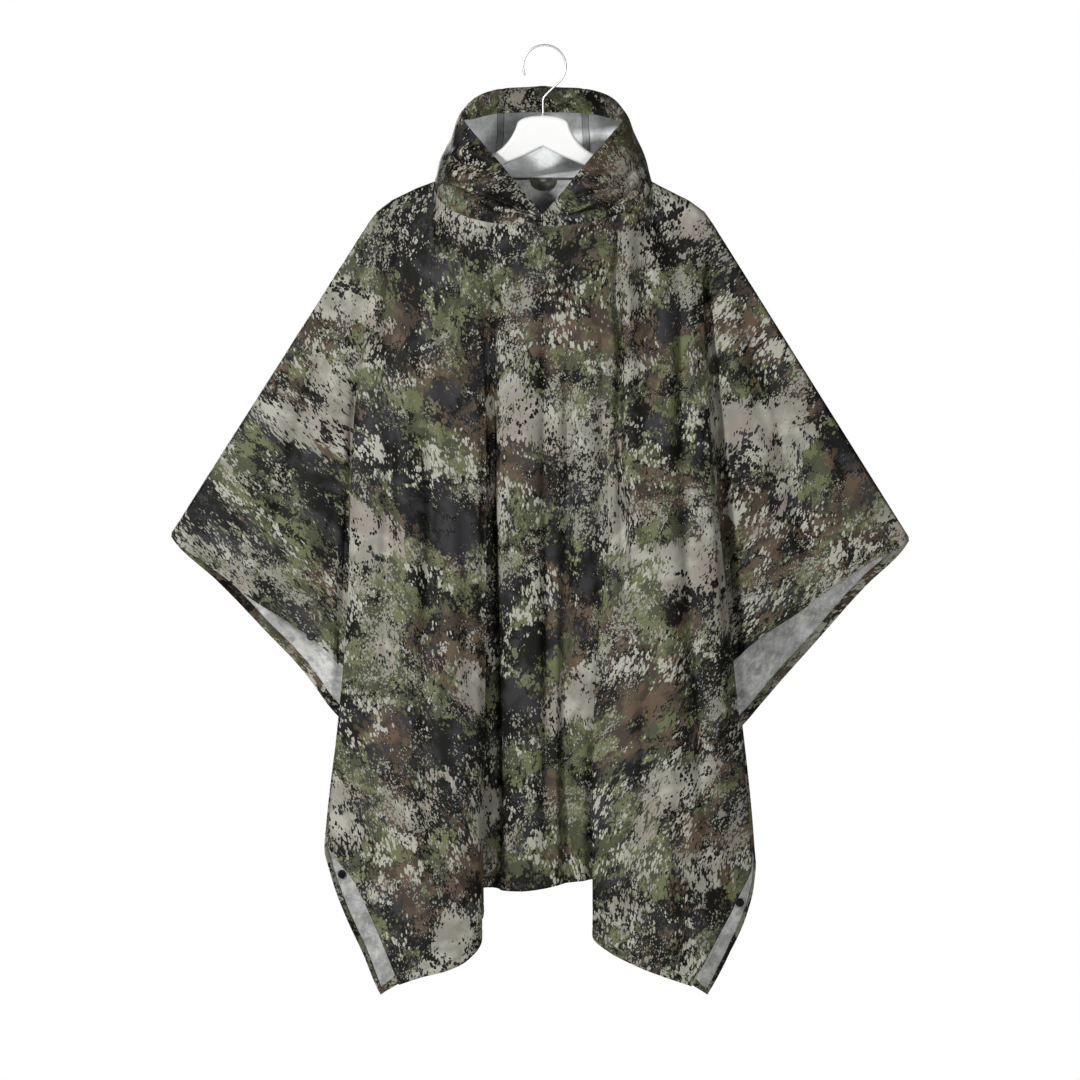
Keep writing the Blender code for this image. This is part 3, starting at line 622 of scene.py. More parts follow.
# A crease runs from (x_a, z_a) to (x_b, z_b) as its panel is seen from the front: it
# bows sideways, has a width, and a depth that is negative for a trough.
FRONT_CREASES = (
    # x_a,  z_a,  x_b,   z_b,  bow, width, depth
    (-74,  -330,  -72, -1190,   0,   8, -16.0),     # slot beside the left lobe
    (-92,  -340,  -90, -1230,   0,   7,   2.6),
    (221,  -262,  283,  -980,   0,   7, -16.0),     # shadow line of the right body fold
    (208,  -300,  256,  -950,   0,   8,   4.0),
    (-266, -480, -290,  -950,   0,   5, -10.0),     # and of the left one
    (-255, -420, -272,  -900,  -3,   9,   3.0),
    (232,  -262,  231,  -318,   2,   6,  -4.4),     # gathers below the hanger's ends
    (243,  -268,  246,  -306,   0,   5,   3.2),
    (219,  -236,  214,  -310,   0,   5,  -6.0),
    (-240, -262, -233,  -322,  -2,   7,  -4.0),
    (-224, -244, -218,  -330,   0,   5,  -6.5),
    (104,  -248,  109,  -430,   2,   6, -11.0),     # long crease from the right of the neck
    (108,  -390,  114,  -800,   3,   7, -10.0),
    (120,  -262,  131,  -700,   4,  11,   5.4),
    (-111, -258, -139,  -420,  -2,   8,  -8.6),     # leaning crease left of the neck
    (-96,  -270, -118,  -440,   3,   9,   5.4),
    (-150, -300, -160,  -620,  -4,  14,   4.0),
    (-62,  -352,  -54,  -420,   3,   7,  -4.2),
    (-46,  -340,  -42,  -430,   0,   9,   3.0),
    (-206, -296, -222,  -420,   4,   8,  -6.0),
    (-243, -770, -235,  -846,  -3,   4,  -2.6),
    (-228, -880, -216, -1010,   6,   9,  -4.0),
    (-157, -520, -154, -1170,   6,  11,  -9.5),
    (-126, -620, -122, -1200,  -4,  13,   5.4),
    (-196, -420, -190,  -900,  -6,  16,   4.6),
    (-214, -540, -220,  -900,   3,   8,  -6.4),
    (-20,  -330,  -14,  -900,  -5,  16,   4.4),
    (6,    -400,    8, -1150,   3,   7,  -7.0),
    (18,   -700,   20, -1160,  -2,   6,   2.6),
    (32,   -480,   33, -1160,   1,   8, -10.0),     # trough in the channel
    (40,   -280,   46,  -560,   3,  13,  -4.0),
    (62,   -330,   60,  -760,  -3,  12,   3.6),
    (84,   -420,   80,  -800,   2,   7,  -6.0),
    (160,  -300,  176,  -980,  -8,  18,   6.0),
    (196,  -380,  214,  -900,   6,  10,  -8.0),
    (140,  -860,  122, -1240,  -5,  10,  -8.5),
    (182,  -980,  176, -1280,   4,  12,   4.6),
    (214,  -820,  232, -1100,   3,   8,  -6.5),
    (262,  -330,  330,  -700,  12,  18,   4.6),
    (286,  -400,  322,  -560,   2,   9,  -3.8),
    (300,  -420,  372,  -742,  -8,  11,  -7.0),
    (398,  -560,  430,  -700,   4,  13,   3.0),
    (-268, -340, -352,  -740, -10,  18,   4.8),
    (-306, -430, -392,  -748,   8,  11,  -7.0),
    (-290, -560, -300,  -760,  -3,   9,  -3.2),
    (-420, -590, -446,  -700,   0,  12,   3.0),
    (158,  -198,  206,  -262,   6,   8,  -4.4),     # creases that fan out from the neck's ends
    (150,  -202,  178,  -286,   4,   7,  -4.0),
    (146,  -214,  152,  -300,   3,   8,   3.6),
    (-152, -200, -196,  -268,  -5,   8,  -4.2),
    (-146, -208, -162,  -300,  -3,   8,  -3.8),
    (-168, -196, -216,  -236,  -4,   8,   3.4),
    (150,  -222,   60,  -262,   6,   9,  -3.2),
    (-150, -224,  -70,  -268,  -6,   9,  -3.2),
)
BACK_CREASES = (
    (-30,  -240,  -26,  -760,   4,  12,   -9.6),
    (28,   -230,   30,  -700,  -4,  15,     7.2),
    (-122, -240, -130,  -560,   4,  13,     7.5),
    (118,  -236,  128,  -520,  -4,  10,   -8.4),
    (-104, -250,  -92,  -480,   3,   8,   -6.6),
    (-176, -330, -168,  -980,   6,  16,   -9.6),
    (168,  -360,  172, -1010,  -6,  16,   -9.9),
    (-208, -420, -226,  -940,   4,  12,     6.9),
    (208,  -420,  232,  -960,  -4,  12,     6.9),
    (-232, -560, -246,  -820,   3,   8,   -6.0),
    (-8,   -640,    0, -1140,   5,  10,   -7.2),
    (16,   -800,   24, -1150,   3,   9,     5.1),
    (74,   -420,   76, -1120,  -3,   8,   -9.0),
    (-78,  -520,  -84, -1150,   3,   8,   -9.9),
    (-140, -820, -134, -1240,  -4,  12,     7.2),
    (140,  -860,  130, -1230,   4,  12,   -7.5),
    (-192, -1010, -206, -1280,  3,  11,     6.3),
    (196,  -1000, 214, -1290,  -3,  11,     6.3),
    (232,  -268,  284,  -930,   0,   7,  -10.5),
    (-236, -268, -296,  -900,   0,   7,  -10.5),
    (264,  -330,  326,  -860,  14,  18,     7.2),
    (304,  -430,  366,  -840,  -8,  15,   -7.5),
    (404,  -560,  428,  -760,   4,  13,     4.8),
    (-262, -330, -318,  -860, -14,  18,     7.2),
    (-310, -440, -376,  -830,   8,  15,   -7.8),
    (-410, -570, -436,  -760,  -4,  13,     5.1),
)
PANEL_COLUMNS, PANEL_ROWS = 366, 130
FOLD_SPACE = 9.0        # added to the cloth between two folds, so that each gets columns
TURN_ROWS = np.array((0.0, 1.3, 3.2, 6.0, 9.0, 12.0, 16.0))                 # from the top
HEM_ROWS = np.array((18.0, 14.5, 12.0, 10.0, 7.5, 4.5, 2.0, 0.0))           # from the edge
HEM_RELIEF = np.array((0.0, 0.15, 0.3, -0.45, 0.35, 0.5, 0.45, 0.2))        # and their lift
HEM_PUCKER = 0.9
ROLL_SHARE, TURN_SHARE, HEM_SHARE = 0.4, 0.3, 0.45      # the most each takes of a short fall
HELD_TOP, HELD_DROP, HELD_FACING = 70.0, 250.0, 0.5     # nearer the top, on a shorter fall or
                                                        # where it turns away, cloth lies flat
BOTTOM_Z, BOTTOM_BLEND = -1090.0, 50.0      # an edge below this is a bottom hem
SIDE_HEM = {FRONT: ((-300, 300), (1, 1)),   # x at the foot, share of the hem's width
            BACK: ((-225, -212, 212, 225), (0.55, 1, 1, 0.42))}
EASE_X, EASE_SPAN, EASE_BLUR, EASE_HALF = 150.0, 80.0, 20.0, 44.0
EASE_START, EASE_IN, EASE_END, EASE_OUT = 12.0, 60.0, 460.0, 260.0
RUMPLES = (     # height, lengths across, in depth and down, and how the seed moves it
    (2.3, (46, 60, 240), (1, 0, 0)),
    (1.0, (24, 40, 95), (-1, 0, 0)),
    (0.38, (15, 15, 22), (0, 1, 0)),
)
CREASE_WAVER, CREASE_END, CREASE_FACING = 0.25, 0.22, 0.35
LEAST_TURN = 0.3        # cosine of the most that a cell may turn as its corners move
BACK_OFF = 0.7          # step by which a move is cut down until no cell turns further
SEED = {FRONT: 4.7, BACK: 11.3}
ON_CLOTH = {FRONT: (3.0, 1.0), BACK: (9.0, 5.0)}    # where on the roll a panel is cut


def eased(values, places, column=None):
    """A smooth curve through a table's evenly spaced rows, at each of the places."""
    last = len(values) - 1
    at = np.clip(places.astype(int), 0, last - 1)
    f = places - at
    near = [np.clip(at + k, 0, last) for k in (-1, 0, 1, 2)]
    if column is None:
        f = f[:, None]
        before, here, there, after = (values[k] for k in near)
    else:
        before, here, there, after = (values[k, column] for k in near)
    return here + 0.5 * f * (there - before + f * (
        2 * before - 5 * here + 4 * there - after + f * (3 * (here - there) + after - before)))


def neck_seam(x, side):
    """Depth and height of the neck seam at each x."""
    across = np.minimum(np.abs(x) / NECK_HALF, 1.0)
    if side == FRONT:
        power = np.where(x < 0, NECK_DIP[-1], NECK_DIP[1])
        drop = -NECK_DROP * (1 - across ** power) ** (1 / power)
    else:
        drop = NECK_LIFT * np.sqrt(1 - across ** 2)
    reach = NECK_REACH[side] * (1 - across ** NECK_OVAL) ** (1 / NECK_OVAL)
    return reach, NECK_Z + drop


def column_places(folds, count):
    """Where to cut columns: by how much cloth lies between folds, closer where it turns."""
    stations = [np.stack([folds[:, i], folds[:, j]], 1) for i, j in ((1, 4), (2, 5), (3, 6))]
    cloth = sum(np.linalg.norm(np.diff(s, axis=0), axis=1) for s in stations) / 3
    run = np.concatenate([[0], np.cumsum(cloth + FOLD_SPACE)])
    places = np.interp(np.linspace(0, run[-1], count), run, np.arange(len(folds)))
    for row in range(1, len(folds) - 1):
        places[np.argmin(np.abs(places - row))] = row
    return places


def eased_beside_neck(x, out, fall):
    """Soften the cloth below each end of the neck seam, where the seam draws it forward."""
    for middle in (-EASE_X, EASE_X):
        columns = np.flatnonzero(np.abs(x[:, 8] - middle) < EASE_SPAN)
        here, down = x[columns], fall[columns]
        near = np.exp(-((here[:, None] - here[None]) / EASE_BLUR) ** 2)
        soft = np.sum(near * out[columns][None], 1) / np.sum(near, 1)
        share = np.clip((down - EASE_START) / EASE_IN, 0, 1)
        share = share * np.clip((EASE_END - down) / EASE_OUT, 0, 1)
        share = share ** 2 * (3 - 2 * share) * np.exp(-((here - middle) / EASE_HALF) ** 4)
        out[columns] += share * (soft - out[columns])
    return out


def spread_out(grid):
    """1 where the columns lie side by side, 0 where a fold packs them together."""
    packed = (np.gradient(grid[..., 0], axis=0) < 1.0).astype(float)
    wide = np.max([np.roll(packed, k, 0) for k in (-2, -1, 0, 1, 2)], axis=0)
    soft = sum(np.roll(wide, k, 0) * w for k, w in ((-2, 1), (-1, 2), (0, 3), (1, 2), (2, 1))) / 9
    return 1 - np.maximum(packed, soft)


def panel_points(folds, side):
    """A grid of points over one panel: columns across, rows down."""
    places = column_places(folds, PANEL_COLUMNS)
    fold = eased(folds, places)
    row_at = np.arange(len(folds))
    corners = [0, len(folds) - 1] + [
        min(np.flatnonzero(part), key=lambda r: folds[r, 7])
        for part in (folds[:, 0] < 0, folds[:, 0] > 0)]
    sharp = np.max([np.clip(2 - np.abs(places - at), 0, 1) for at in corners], axis=0)
    fold[:, 7] += sharp * (np.interp(places, row_at, folds[:, 7]) - fold[:, 7])
    x_top = np.interp(places, row_at, folds[:, 0])
    at_neck = np.abs(x_top) < NECK_HALF
    angle = np.arcsin(np.clip(folds[:, 0] / NECK_HALF, -1, 1))
    x_top = np.where(at_neck, NECK_HALF * np.sin(np.interp(places, row_at, angle)), x_top)
    reach, z_neck = neck_seam(x_top, side)
    z_top = np.where(at_neck, z_neck, [shoulder_z(x) for x in x_top])
    drop = (z_top - fold[:, 7])[:, None]
    roll = np.minimum(ROLL, ROLL_SHARE * drop)

    # rows: over the shoulder's turn, evenly down, then at set widths above the edge
    edge = np.gradient(fold[:, [3, 6, 7]], axis=0)
    steep = np.abs(edge[:, 2]) / np.linalg.norm(edge, axis=1)
    slant = 1 / np.sqrt(np.maximum(1 - steep ** 2, 0.15))
    slant = np.convolve(np.pad(slant, 2, "edge"), np.full(5, 0.2), "valid")[:, None]
    turn = TURN_ROWS * np.minimum(1, TURN_SHARE * drop / TURN_ROWS[-1])
    side_hem = np.interp(fold[:, 3], *SIDE_HEM[side])[:, None]
    low = np.clip((BOTTOM_Z - fold[:, 7]) / BOTTOM_BLEND, 0, 1)[:, None]
    foot = HEM_ROWS * slant * (1 - low * (1 - side_hem))
    foot = drop - foot * np.minimum(1, HEM_SHARE * drop / foot[:, :1])
    middle = PANEL_ROWS - len(TURN_ROWS) - len(HEM_ROWS)
    even = np.linspace(0, 1, middle + 2)[1:-1]
    fall = np.concatenate([turn, turn[:, -1:] + (foot[:, :1] - turn[:, -1:]) * even, foot], 1)

    xs = np.stack([x_top, fold[:, 1], fold[:, 2], fold[:, 3]])
    set_back = np.where(at_neck, reach - roll[:, 0], 0)
    ys = np.stack([np.maximum(set_back, 0), fold[:, 4], fold[:, 5], fold[:, 6]])
    column = np.broadcast_to(np.arange(PANEL_COLUMNS)[:, None], fall.shape)
    x, y = (eased(values, fall / drop * 3, column) for values in (xs, ys))
    left = roll - np.minimum(fall, roll)
    turned = np.where(at_neck[:, None], roll, np.sqrt(np.maximum(roll ** 2 - left ** 2, 0)))
    y = y + np.minimum(set_back, 0)[:, None] * np.exp(-(fall / 16) ** 2)
    out = np.maximum(turned + y, SEAM_GAP / 2)
    out = eased_beside_neck(x, out, fall)
    return np.stack([x, side * out, z_top[:, None] - fall], 2), at_neck, fall, drop


def grid_normals(grid, side, flat_top=None):
    """The way out of the cloth at each point of a grid."""
    across = np.gradient(grid, axis=0)
    down = np.gradient(grid, axis=1)
    if flat_top is not None:
        down[:, 0] = np.where(flat_top[:, None], (0, 0, -1), (0, side, 0))
    return unit(np.cross(across, down) * side)


def crease_height(grid, facing, creases):
    """How far the listed creases lift each point, where the cloth faces out."""
    x, z = grid[..., 0], grid[..., 2]
    height = np.zeros_like(x)
    for x_a, z_a, x_b, z_b, bow, width, depth in creases:
        run = math.hypot(x_b - x_a, z_b - z_a)
        ux, uz = (x_b - x_a) / run, (z_b - z_a) / run
        along = ((x - x_a) * ux + (z - z_a) * uz) / run
        aside = (x - x_a) * uz - (z - z_a) * ux
        waver = CREASE_WAVER * width * np.sin(7.0 * along + 0.1 * x_a)
        off = aside - bow * np.sin(math.pi * np.clip(along, 0, 1)) - waver
        body = np.clip(np.minimum(along, 1 - along) / CREASE_END + 0.5, 0, 1)
        spread = width * (0.75 + 0.5 * np.clip(along, 0, 1))
        height += depth * body ** 2 * (3 - 2 * body) * np.exp(-(off / spread) ** 2)
    return height * np.clip((facing - CREASE_FACING) / CREASE_FACING, 0, 1)


def rumple(grid, seed):
    """Slack in the cloth: long soft swells and a little finer crumpling."""
    lift = np.zeros(grid.shape[:2])
    for height, sizes, shift in RUMPLES:
        places = (grid / sizes + np.multiply(shift, seed)).reshape(-1, 3).tolist()
        lift += height * np.reshape([noise.noise(Vector(p)) for p in places], lift.shape)
    return lift


def flat_places(grid):
    """Each point's place on the flat cloth, in metres, measured level from the middle."""
    u = np.zeros(grid.shape[:2])
    middle = int(np.argmin(np.abs(grid[:, 0, 0])))
    for step, order in ((1, range(middle + 1, len(grid))), (-1, range(middle - 1, -1, -1))):
        for c in order:
            before, here = grid[c - step, ::-1], grid[c]
            x, y, run = (np.interp(here[:, 2], before[:, 2], values)
                         for values in (before[:, 0], before[:, 1], u[c - step, ::-1]))
            u[c] = run + step * np.hypot(here[:, 0] - x, here[:, 1] - y)
    return np.stack([u * MM, -grid[..., 2] * MM], 2)


CELL_CORNERS = [(a, b) for a in (slice(None, -1), slice(1, None))
                for b in (slice(None, -1), slice(1, None))]


def cell_way(grid):
    """The way each cell of a grid faces."""
    return unit(np.cross(grid[1:, 1:] - grid[:-1, :-1], grid[:-1, 1:] - grid[1:, :-1]))


def held_back(base, way, amount):
    """Amounts to move a grid's points by, cut down where a cell would turn over."""
    cells = cell_way(base)
    for _ in range(10):
        moved = cell_way(base + way * amount[..., None])
        turned = np.sum(cells * moved, 2) < LEAST_TURN
        for a, b in CELL_CORNERS:
            amount[a, b] *= np.where(turned, BACK_OFF, 1)
    return amount


def way_in(outer, normals):
    """The way into the cloth at each point: behind every cell that meets there."""
    cells = cell_way(outer)
    cells *= np.sign(np.sum(cells * (normals[1:, 1:] + normals[:-1, :-1])))
    padded = np.pad(cells, ((1, 1), (1, 1), (0, 0)), "edge")
    near = np.stack([padded[a, b] for a, b in CELL_CORNERS])
    inward = -near.sum(0)
    inward[:, 0] = -normals[:, 0]
    for _ in range(30):
        inward = unit(inward)
        behind = -np.sum(near * inward, 3)
        worst = np.argmin(behind, 0)[None]
        least = np.take_along_axis(behind, worst, 0)[0]
        pull = np.take_along_axis(near, worst[..., None], 0)[0]
        inward = inward - pull * (0.3 * (least < LEAST_TURN))[..., None]
    return unit(inward), cells


def wall_inside(outer, normals, thick):
    """The cloth's inner face, drawn in less where a crease is tighter than its wall."""
    inward, cells = way_in(outer, normals)
    depth = np.full(outer.shape[:2], thick)
    for _ in range(8):
        crossed = np.sum(cells * cell_way(outer + inward * depth[..., None]), 2)
        crossed = crossed * np.sign(np.sum(crossed)) < 0.5
        for a, b in CELL_CORNERS:
            depth[a, b] *= np.where(crossed & (depth[a, b] > 0.1), BACK_OFF, 1)
    return outer + inward * depth[..., None]


def grid_quads(grid):
    """The numbers of a grid's points, and its cells as quads."""
    ids = np.arange(grid.shape[0] * grid.shape[1]).reshape(grid.shape[:2])
    quads = np.stack([ids[:-1, :-1], ids[:-1, 1:], ids[1:, 1:], ids[1:, :-1]], 2)
    return ids, quads.reshape(-1, 4)


def lay_flat(mesh, places):
    """Give a mesh its places on the flat cloth, one for each of its points."""
    corners = np.zeros(len(mesh.loops), np.int32)
    mesh.loops.foreach_get("vertex_index", corners)
    mesh.uv_layers.new(name="Cloth").data.foreach_set("uv", places[corners].ravel())


def shell_mesh(name, outer, normals, flat, flip=False):
    """A closed thin shell: printed outside and round its rim, coated inside."""
    inner = wall_inside(outer, normals, SHELL)
    verts = np.concatenate([outer.reshape(-1, 3), inner.reshape(-1, 3)])
    ids, quads = grid_quads(outer)
    if flip:
        quads = quads[:, ::-1]
    under = quads[:, (0, 3, 2, 1)] + ids.size      # split along the same diagonal
    rim = np.concatenate([ids[:-1, 0], ids[-1, :-1], ids[:0:-1, -1], ids[0, :0:-1]])
    there = np.roll(rim, -1)
    edge = np.stack([rim, there, there + ids.size, rim + ids.size], 1)
    if flip:
        edge = edge[:, ::-1]
    faces = np.concatenate([quads, under, edge])
    mesh = bpy.data.meshes.new(name)
    mesh.from_pydata((verts * MM).tolist(), [], faces.tolist())
    slots = np.zeros(len(faces), np.int32)
    slots[len(quads):2 * len(quads)] = 1
    mesh.polygons.foreach_set("material_index", slots)
    lay_flat(mesh, np.concatenate([flat.reshape(-1, 2)] * 2))
    return smoothed(mesh, 60)


def wavering(count, strength, place):
    """1 and a little more or less, from column to column."""
    return np.array([1 + strength * noise.noise(Vector(place(c))) for c in range(count)])[:, None]


def make_panel(name, node, folds, side, creases):
    """One panel as a shell, with its grid, its way out and its places for what is sewn on."""
    grid, at_neck, fall, drop = panel_points(folds, side)
    normals = grid_normals(grid, side, at_neck)
    facing = normals[..., 1] * side
    lift = crease_height(grid, facing, creases) + rumple(grid, SEED[side])
    free = np.clip(fall / HELD_TOP, 0, 1) * np.clip(drop / HELD_DROP, 0.1, 1)
    lift = lift * free * np.clip(facing / HELD_FACING, 0.2, 1) * spread_out(grid)
    pucker = wavering(len(grid), HEM_PUCKER, lambda c: (SEED[side], c * 0.44, 0))
    lift[:, -len(HEM_ROWS):] += HEM_RELIEF * pucker
    lift = held_back(grid, normals, lift)
    grid = grid + normals * lift[..., None]
    normals = grid_normals(grid, side, at_neck)
    flat = flat_places(grid) + ON_CLOTH[side]
    mesh = shell_mesh(name, grid, normals, flat, flip=side == BACK)
    piece = new_piece(name, mesh, "camouflage", camouflage, grey_coating, stands_for=node)
    return piece, grid, normals, flat


front_cloth, front_grid, front_out, front_flat = make_panel(
    "front_cloth", "front_panel", FRONT_FOLDS, FRONT, FRONT_CREASES)
back_cloth, back_grid, back_out, back_flat = make_panel(
    "back_cloth", "back_panel", BACK_FOLDS, BACK, BACK_CREASES)

# ---------------------------------------------------------------- hems
# The cut edge of each panel is turned in once, 12 mm wide, so the printed face shows
# on the inside as a band. It is lockstitched along the band's upper edge.

HEM_PROFILE = (     # row from the edge, how far out of the cloth, how far below the edge
    (-2, 0.10, 0.0), (-1, 0.12, 0.0), (-1, -0.15, 0.65), (-1, -0.80, 0.85), (-1, -1.45, 0.5),
    (-2, -1.80, 0.0), (-3, -1.75, 0.0), (-4, -1.65, 0.0), (-5, -1.40, 0.0), (-6, -1.50, 0.0),
    (-6, -0.66, 0.0), (-4, -0.64, 0.0), (-2, -0.30, 0.0),
)
HEM_WANDER = 0.12


def swept(name, rings, places=None, closed=False):
    """A tube through rings of points, capped at its ends unless it closes on itself."""
    m, n = rings.shape[:2]
    ids = np.arange(m * n).reshape(m, n)
    near, far = (ids, np.roll(ids, -1, 0)) if closed else (ids[:-1], ids[1:])
    quads = np.stack([near, far, np.roll(far, -1, 1), np.roll(near, -1, 1)], 2).reshape(-1, 4)
    faces = [tuple(q) for q in quads.tolist()]
    if not closed:
        faces += [tuple(ids[0].tolist()), tuple(ids[-1].tolist())]
    mesh = outward(new_mesh(name, rings.reshape(-1, 3), faces, 50))
    if places is not None:
        lay_flat(mesh, places.reshape(-1, 2))
    return mesh


def turned_print(flat, rows):
    """Places on the cloth that is folded back over its edge: mirrored in that edge."""
    edge = flat[:, -1]
    along = np.gradient(edge, axis=0)
    along = unit(sum(np.roll(along, k, 0) for k in (-2, -1, 0, 1, 2)))
    square = np.stack([-along[:, 1], along[:, 0]], 1)
    back = [flat[:, row] - edge for row in rows]
    return np.stack([edge + b - 2 * np.sum(b * square, 1, keepdims=True) * square for b in back], 1)


def turned_edge(name, grid, out, flat, wander=1.0):
    """The band along a grid's last row, folded in, as a piece with its print."""
    down = unit(grid[:, -1] - grid[:, -2])
    ring = [grid[:, row] + out[:, row] * (offset * wander) + down * below
            for row, offset, below in HEM_PROFILE]
    places = turned_print(flat, [row for row, _, _ in HEM_PROFILE])
    return new_piece(name, swept(name, np.stack(ring, 1), places), "camouflage", camouflage)


front_hem = turned_edge("front_hem", front_grid, front_out, front_flat,
                        wavering(PANEL_COLUMNS, HEM_WANDER, lambda c: (c * 0.4, 2.0, 0)))
back_hem = turned_edge("back_hem", back_grid, back_out, back_flat,
                       wavering(PANEL_COLUMNS, HEM_WANDER, lambda c: (c * 0.4, 7.0, 0)))

# ---------------------------------------------------------------- hood
# Two side pieces and a strip over the crown and the back of the head, seamed edge to
# edge and sewn into the neck hole. It falls open behind the hanger's hook.

HOOD_LINES = np.array((
    # turn   low               high              crown             edge
    (0.00,   0, -59, -249,     0, -58, -245,     0, -57, -241,     0, -56, -237),
    (0.12,  53, -61, -242,    46, -61, -229,    37, -57, -217,    28, -52, -205),
    (0.25, 108, -52, -230,    95, -52, -207,    76, -47, -185,    58, -40, -168),
    (0.38, 140, -34, -207,   124, -32, -176,   105, -27, -151,    87, -20, -134),
    (0.50, 145,   2, -168,   131,  14, -138,   121,  16, -109,   111,   0, -105),
    (0.62, 143,  40, -162,   126,  60, -118,   109,  46,  -83,    98,   9, -101),
    (0.75, 114,  82, -160,   104,  93, -110,    90,  64,  -67,    80,  15,  -96),
    (0.88,  62,  95, -162,    60, 105, -110,    58,  68,  -58,    55,  19,  -92),
    (1.00,   0,  97, -164,     0, 108, -110,     0,  68,  -54,     0,  21,  -91),
), float)
NECK_SEAM = (0.1, 0.2)      # gap above the panels, in the middle and at the neck's ends
SIDE_LINES = 8              # the lines above that belong to a side piece
HOOD_FOOT_ROWS = np.array((0.0, 1.5, 4.0, 8.0))
HOOD_HEM_ROWS = np.array((15.0, 12.0, 10.0, 7.0, 4.0, 1.5, 0.0))
HOOD_FOOT_SHARE = 0.2
SIDE_COLUMNS, CENTRE_COLUMNS, HOOD_ROWS = 118, 22, 84
HOOD_RUMPLE, HOOD_SEED = 0.5, 21.9
SEAM_SINK, SEAM_COLUMNS = 0.7, 0.8      # how deep a seam lies, and how wide it is
PIECE_GAP = 0.15                        # half of the gap between two pieces of the hood
HOOD_ON_CLOTH = (22.6, 7.3)
HOOD_CREASES = (
    # x_a,  z_a,   x_b,   z_b,  bow, width, depth
    (-136, -160,   -66,  -176,   -8,   5, -13.0),
    (-128, -148,   -74,  -158,   -6,   8,   4.5),
    (-143, -188,    -8,  -239,   -6,   6, -13.0),
    (-130, -176,   -40,  -220,   -6,   8,   5.0),
    (-112, -196,   -58,  -230,    4,   5,  -4.0),
    (22,   -232,   140,  -202,    7,   6, -14.5),
    (34,   -219,   130,  -188,    6,   8,   5.0),
    (28,   -212,   132,  -176,    7,   5, -11.0),
    (54,   -190,   124,  -154,    5,   8,   4.0),
    (66,   -178,   110,  -146,    4,   5,  -3.6),
    (-104, -112,   -74,  -148,    3,   6,  -4.2),
    (96,   -112,    78,  -146,   -3,   6,  -4.0),
    (-60,   -62,   -50,   -88,    1,   7,  -2.2),
    (22,    -58,    26,   -88,    1,   6,  -2.0),
    (70,    -66,    60,   -86,    1,   7,  -2.2),
)
HOOD_BACK_CREASES = (
    (-86,   -80,  -104,  -180,    5,  10,  -5.5),
    (84,    -80,   100,  -178,   -5,  10,  -5.5),
    (-30,   -90,   -52,  -180,    3,   9,  -6.0),
    (24,    -84,    44,  -180,   -3,   9,   6.0),
    (-70,  -120,    30,  -150,    4,   9,  -5.0),
    (10,   -132,    76,  -176,    4,   8,  -5.0),
    (-20,  -142,     4,  -128,    2,   9,   4.0),
)


def hood_line(row, hand):
    """Points of one line of cloth from the neck seam to the face opening."""
    turn = min(row[0], 1.0)
    x = hand * NECK_HALF * math.sin(math.pi * turn)
    side = FRONT if turn < 0.5 else BACK
    reach, z = neck_seam(np.array([x]), side)
    across = min(abs(x) / NECK_HALF, 1.0)
    gap = NECK_SEAM[0] + (NECK_SEAM[1] - NECK_SEAM[0]) * across ** 4
    foot = (x - hand * 2 * SEAM_GAP * across, side * reach[0], z[0] + gap)
    stations = [(hand * row[i], row[i + 1], row[i + 2]) for i in (1, 4, 7, 10)]
    fine = np.array([tuple(p) for p in smooth_run([foot] + stations, 12)])
    run = run_along(fine)
    length = run[-1]
    foot_rows = HOOD_FOOT_ROWS * min(1, HOOD_FOOT_SHARE * length / HOOD_FOOT_ROWS[-1])
    hem_rows = length - HOOD_HEM_ROWS * min(1, HEM_SHARE * length / HOOD_HEM_ROWS[0])
    middle = HOOD_ROWS - len(foot_rows) - len(hem_rows)
    even = np.linspace(foot_rows[-1], hem_rows[0], middle + 2)[1:-1]
    at = np.concatenate([foot_rows, even, hem_rows])
    return np.stack([np.interp(at, run, fine[:, i]) for i in range(3)], 1)


def hood_points():
    """The hood's grid from its front, round its left, back to its front."""
    run = run_along(HOOD_LINES[:SIDE_LINES, 1:])
    sides = np.interp(np.linspace(0, run[-1], SIDE_COLUMNS), run, np.arange(SIDE_LINES))
    half = np.linspace(SIDE_LINES - 1, SIDE_LINES, CENTRE_COLUMNS // 2 + 1)[1:]
    places = np.concatenate([sides, half])
    rows = eased(HOOD_LINES, places)
    left = [hood_line(row, -1) for row in rows]
    right = [hood_line(row, 1) for row in rows[-2::-1]]
    return np.array(left + right)


hood_grid = hood_points()
hood_out = -grid_normals(hood_grid, 1)
seam_at = (SIDE_COLUMNS - 1, SIDE_COLUMNS - 1 + CENTRE_COLUMNS)
from_seam = np.min([np.abs(np.arange(len(hood_grid)) - at) for at in seam_at], axis=0)
lift = crease_height(hood_grid, -hood_out[..., 1], HOOD_CREASES)
lift += crease_height(hood_grid, hood_out[..., 1], HOOD_BACK_CREASES)
lift += HOOD_RUMPLE * rumple(hood_grid, HOOD_SEED)
rows_up = np.linspace(0, 1, HOOD_ROWS)
lift *= np.clip(rows_up / 0.10, 0, 1) * np.clip((1 - rows_up) / 0.12, 0.25, 1)
lift -= SEAM_SINK * np.exp(-(from_seam[:, None] / SEAM_COLUMNS) ** 2)
pucker = wavering(len(hood_grid), HEM_PUCKER, lambda c: (c * 0.5, 3.1, 0))
lift[:, -len(HOOD_HEM_ROWS):] += HEM_RELIEF[1:] * pucker
lift = held_back(hood_grid, hood_out, lift)
hood_grid = hood_grid + hood_out * lift[..., None]
hood_out = -grid_normals(hood_grid, 1)
across = np.linalg.norm(np.diff(hood_grid, axis=0, prepend=hood_grid[:1]), axis=2)
upward = np.linalg.norm(np.diff(hood_grid, axis=1, prepend=hood_grid[:, :1]), axis=2)
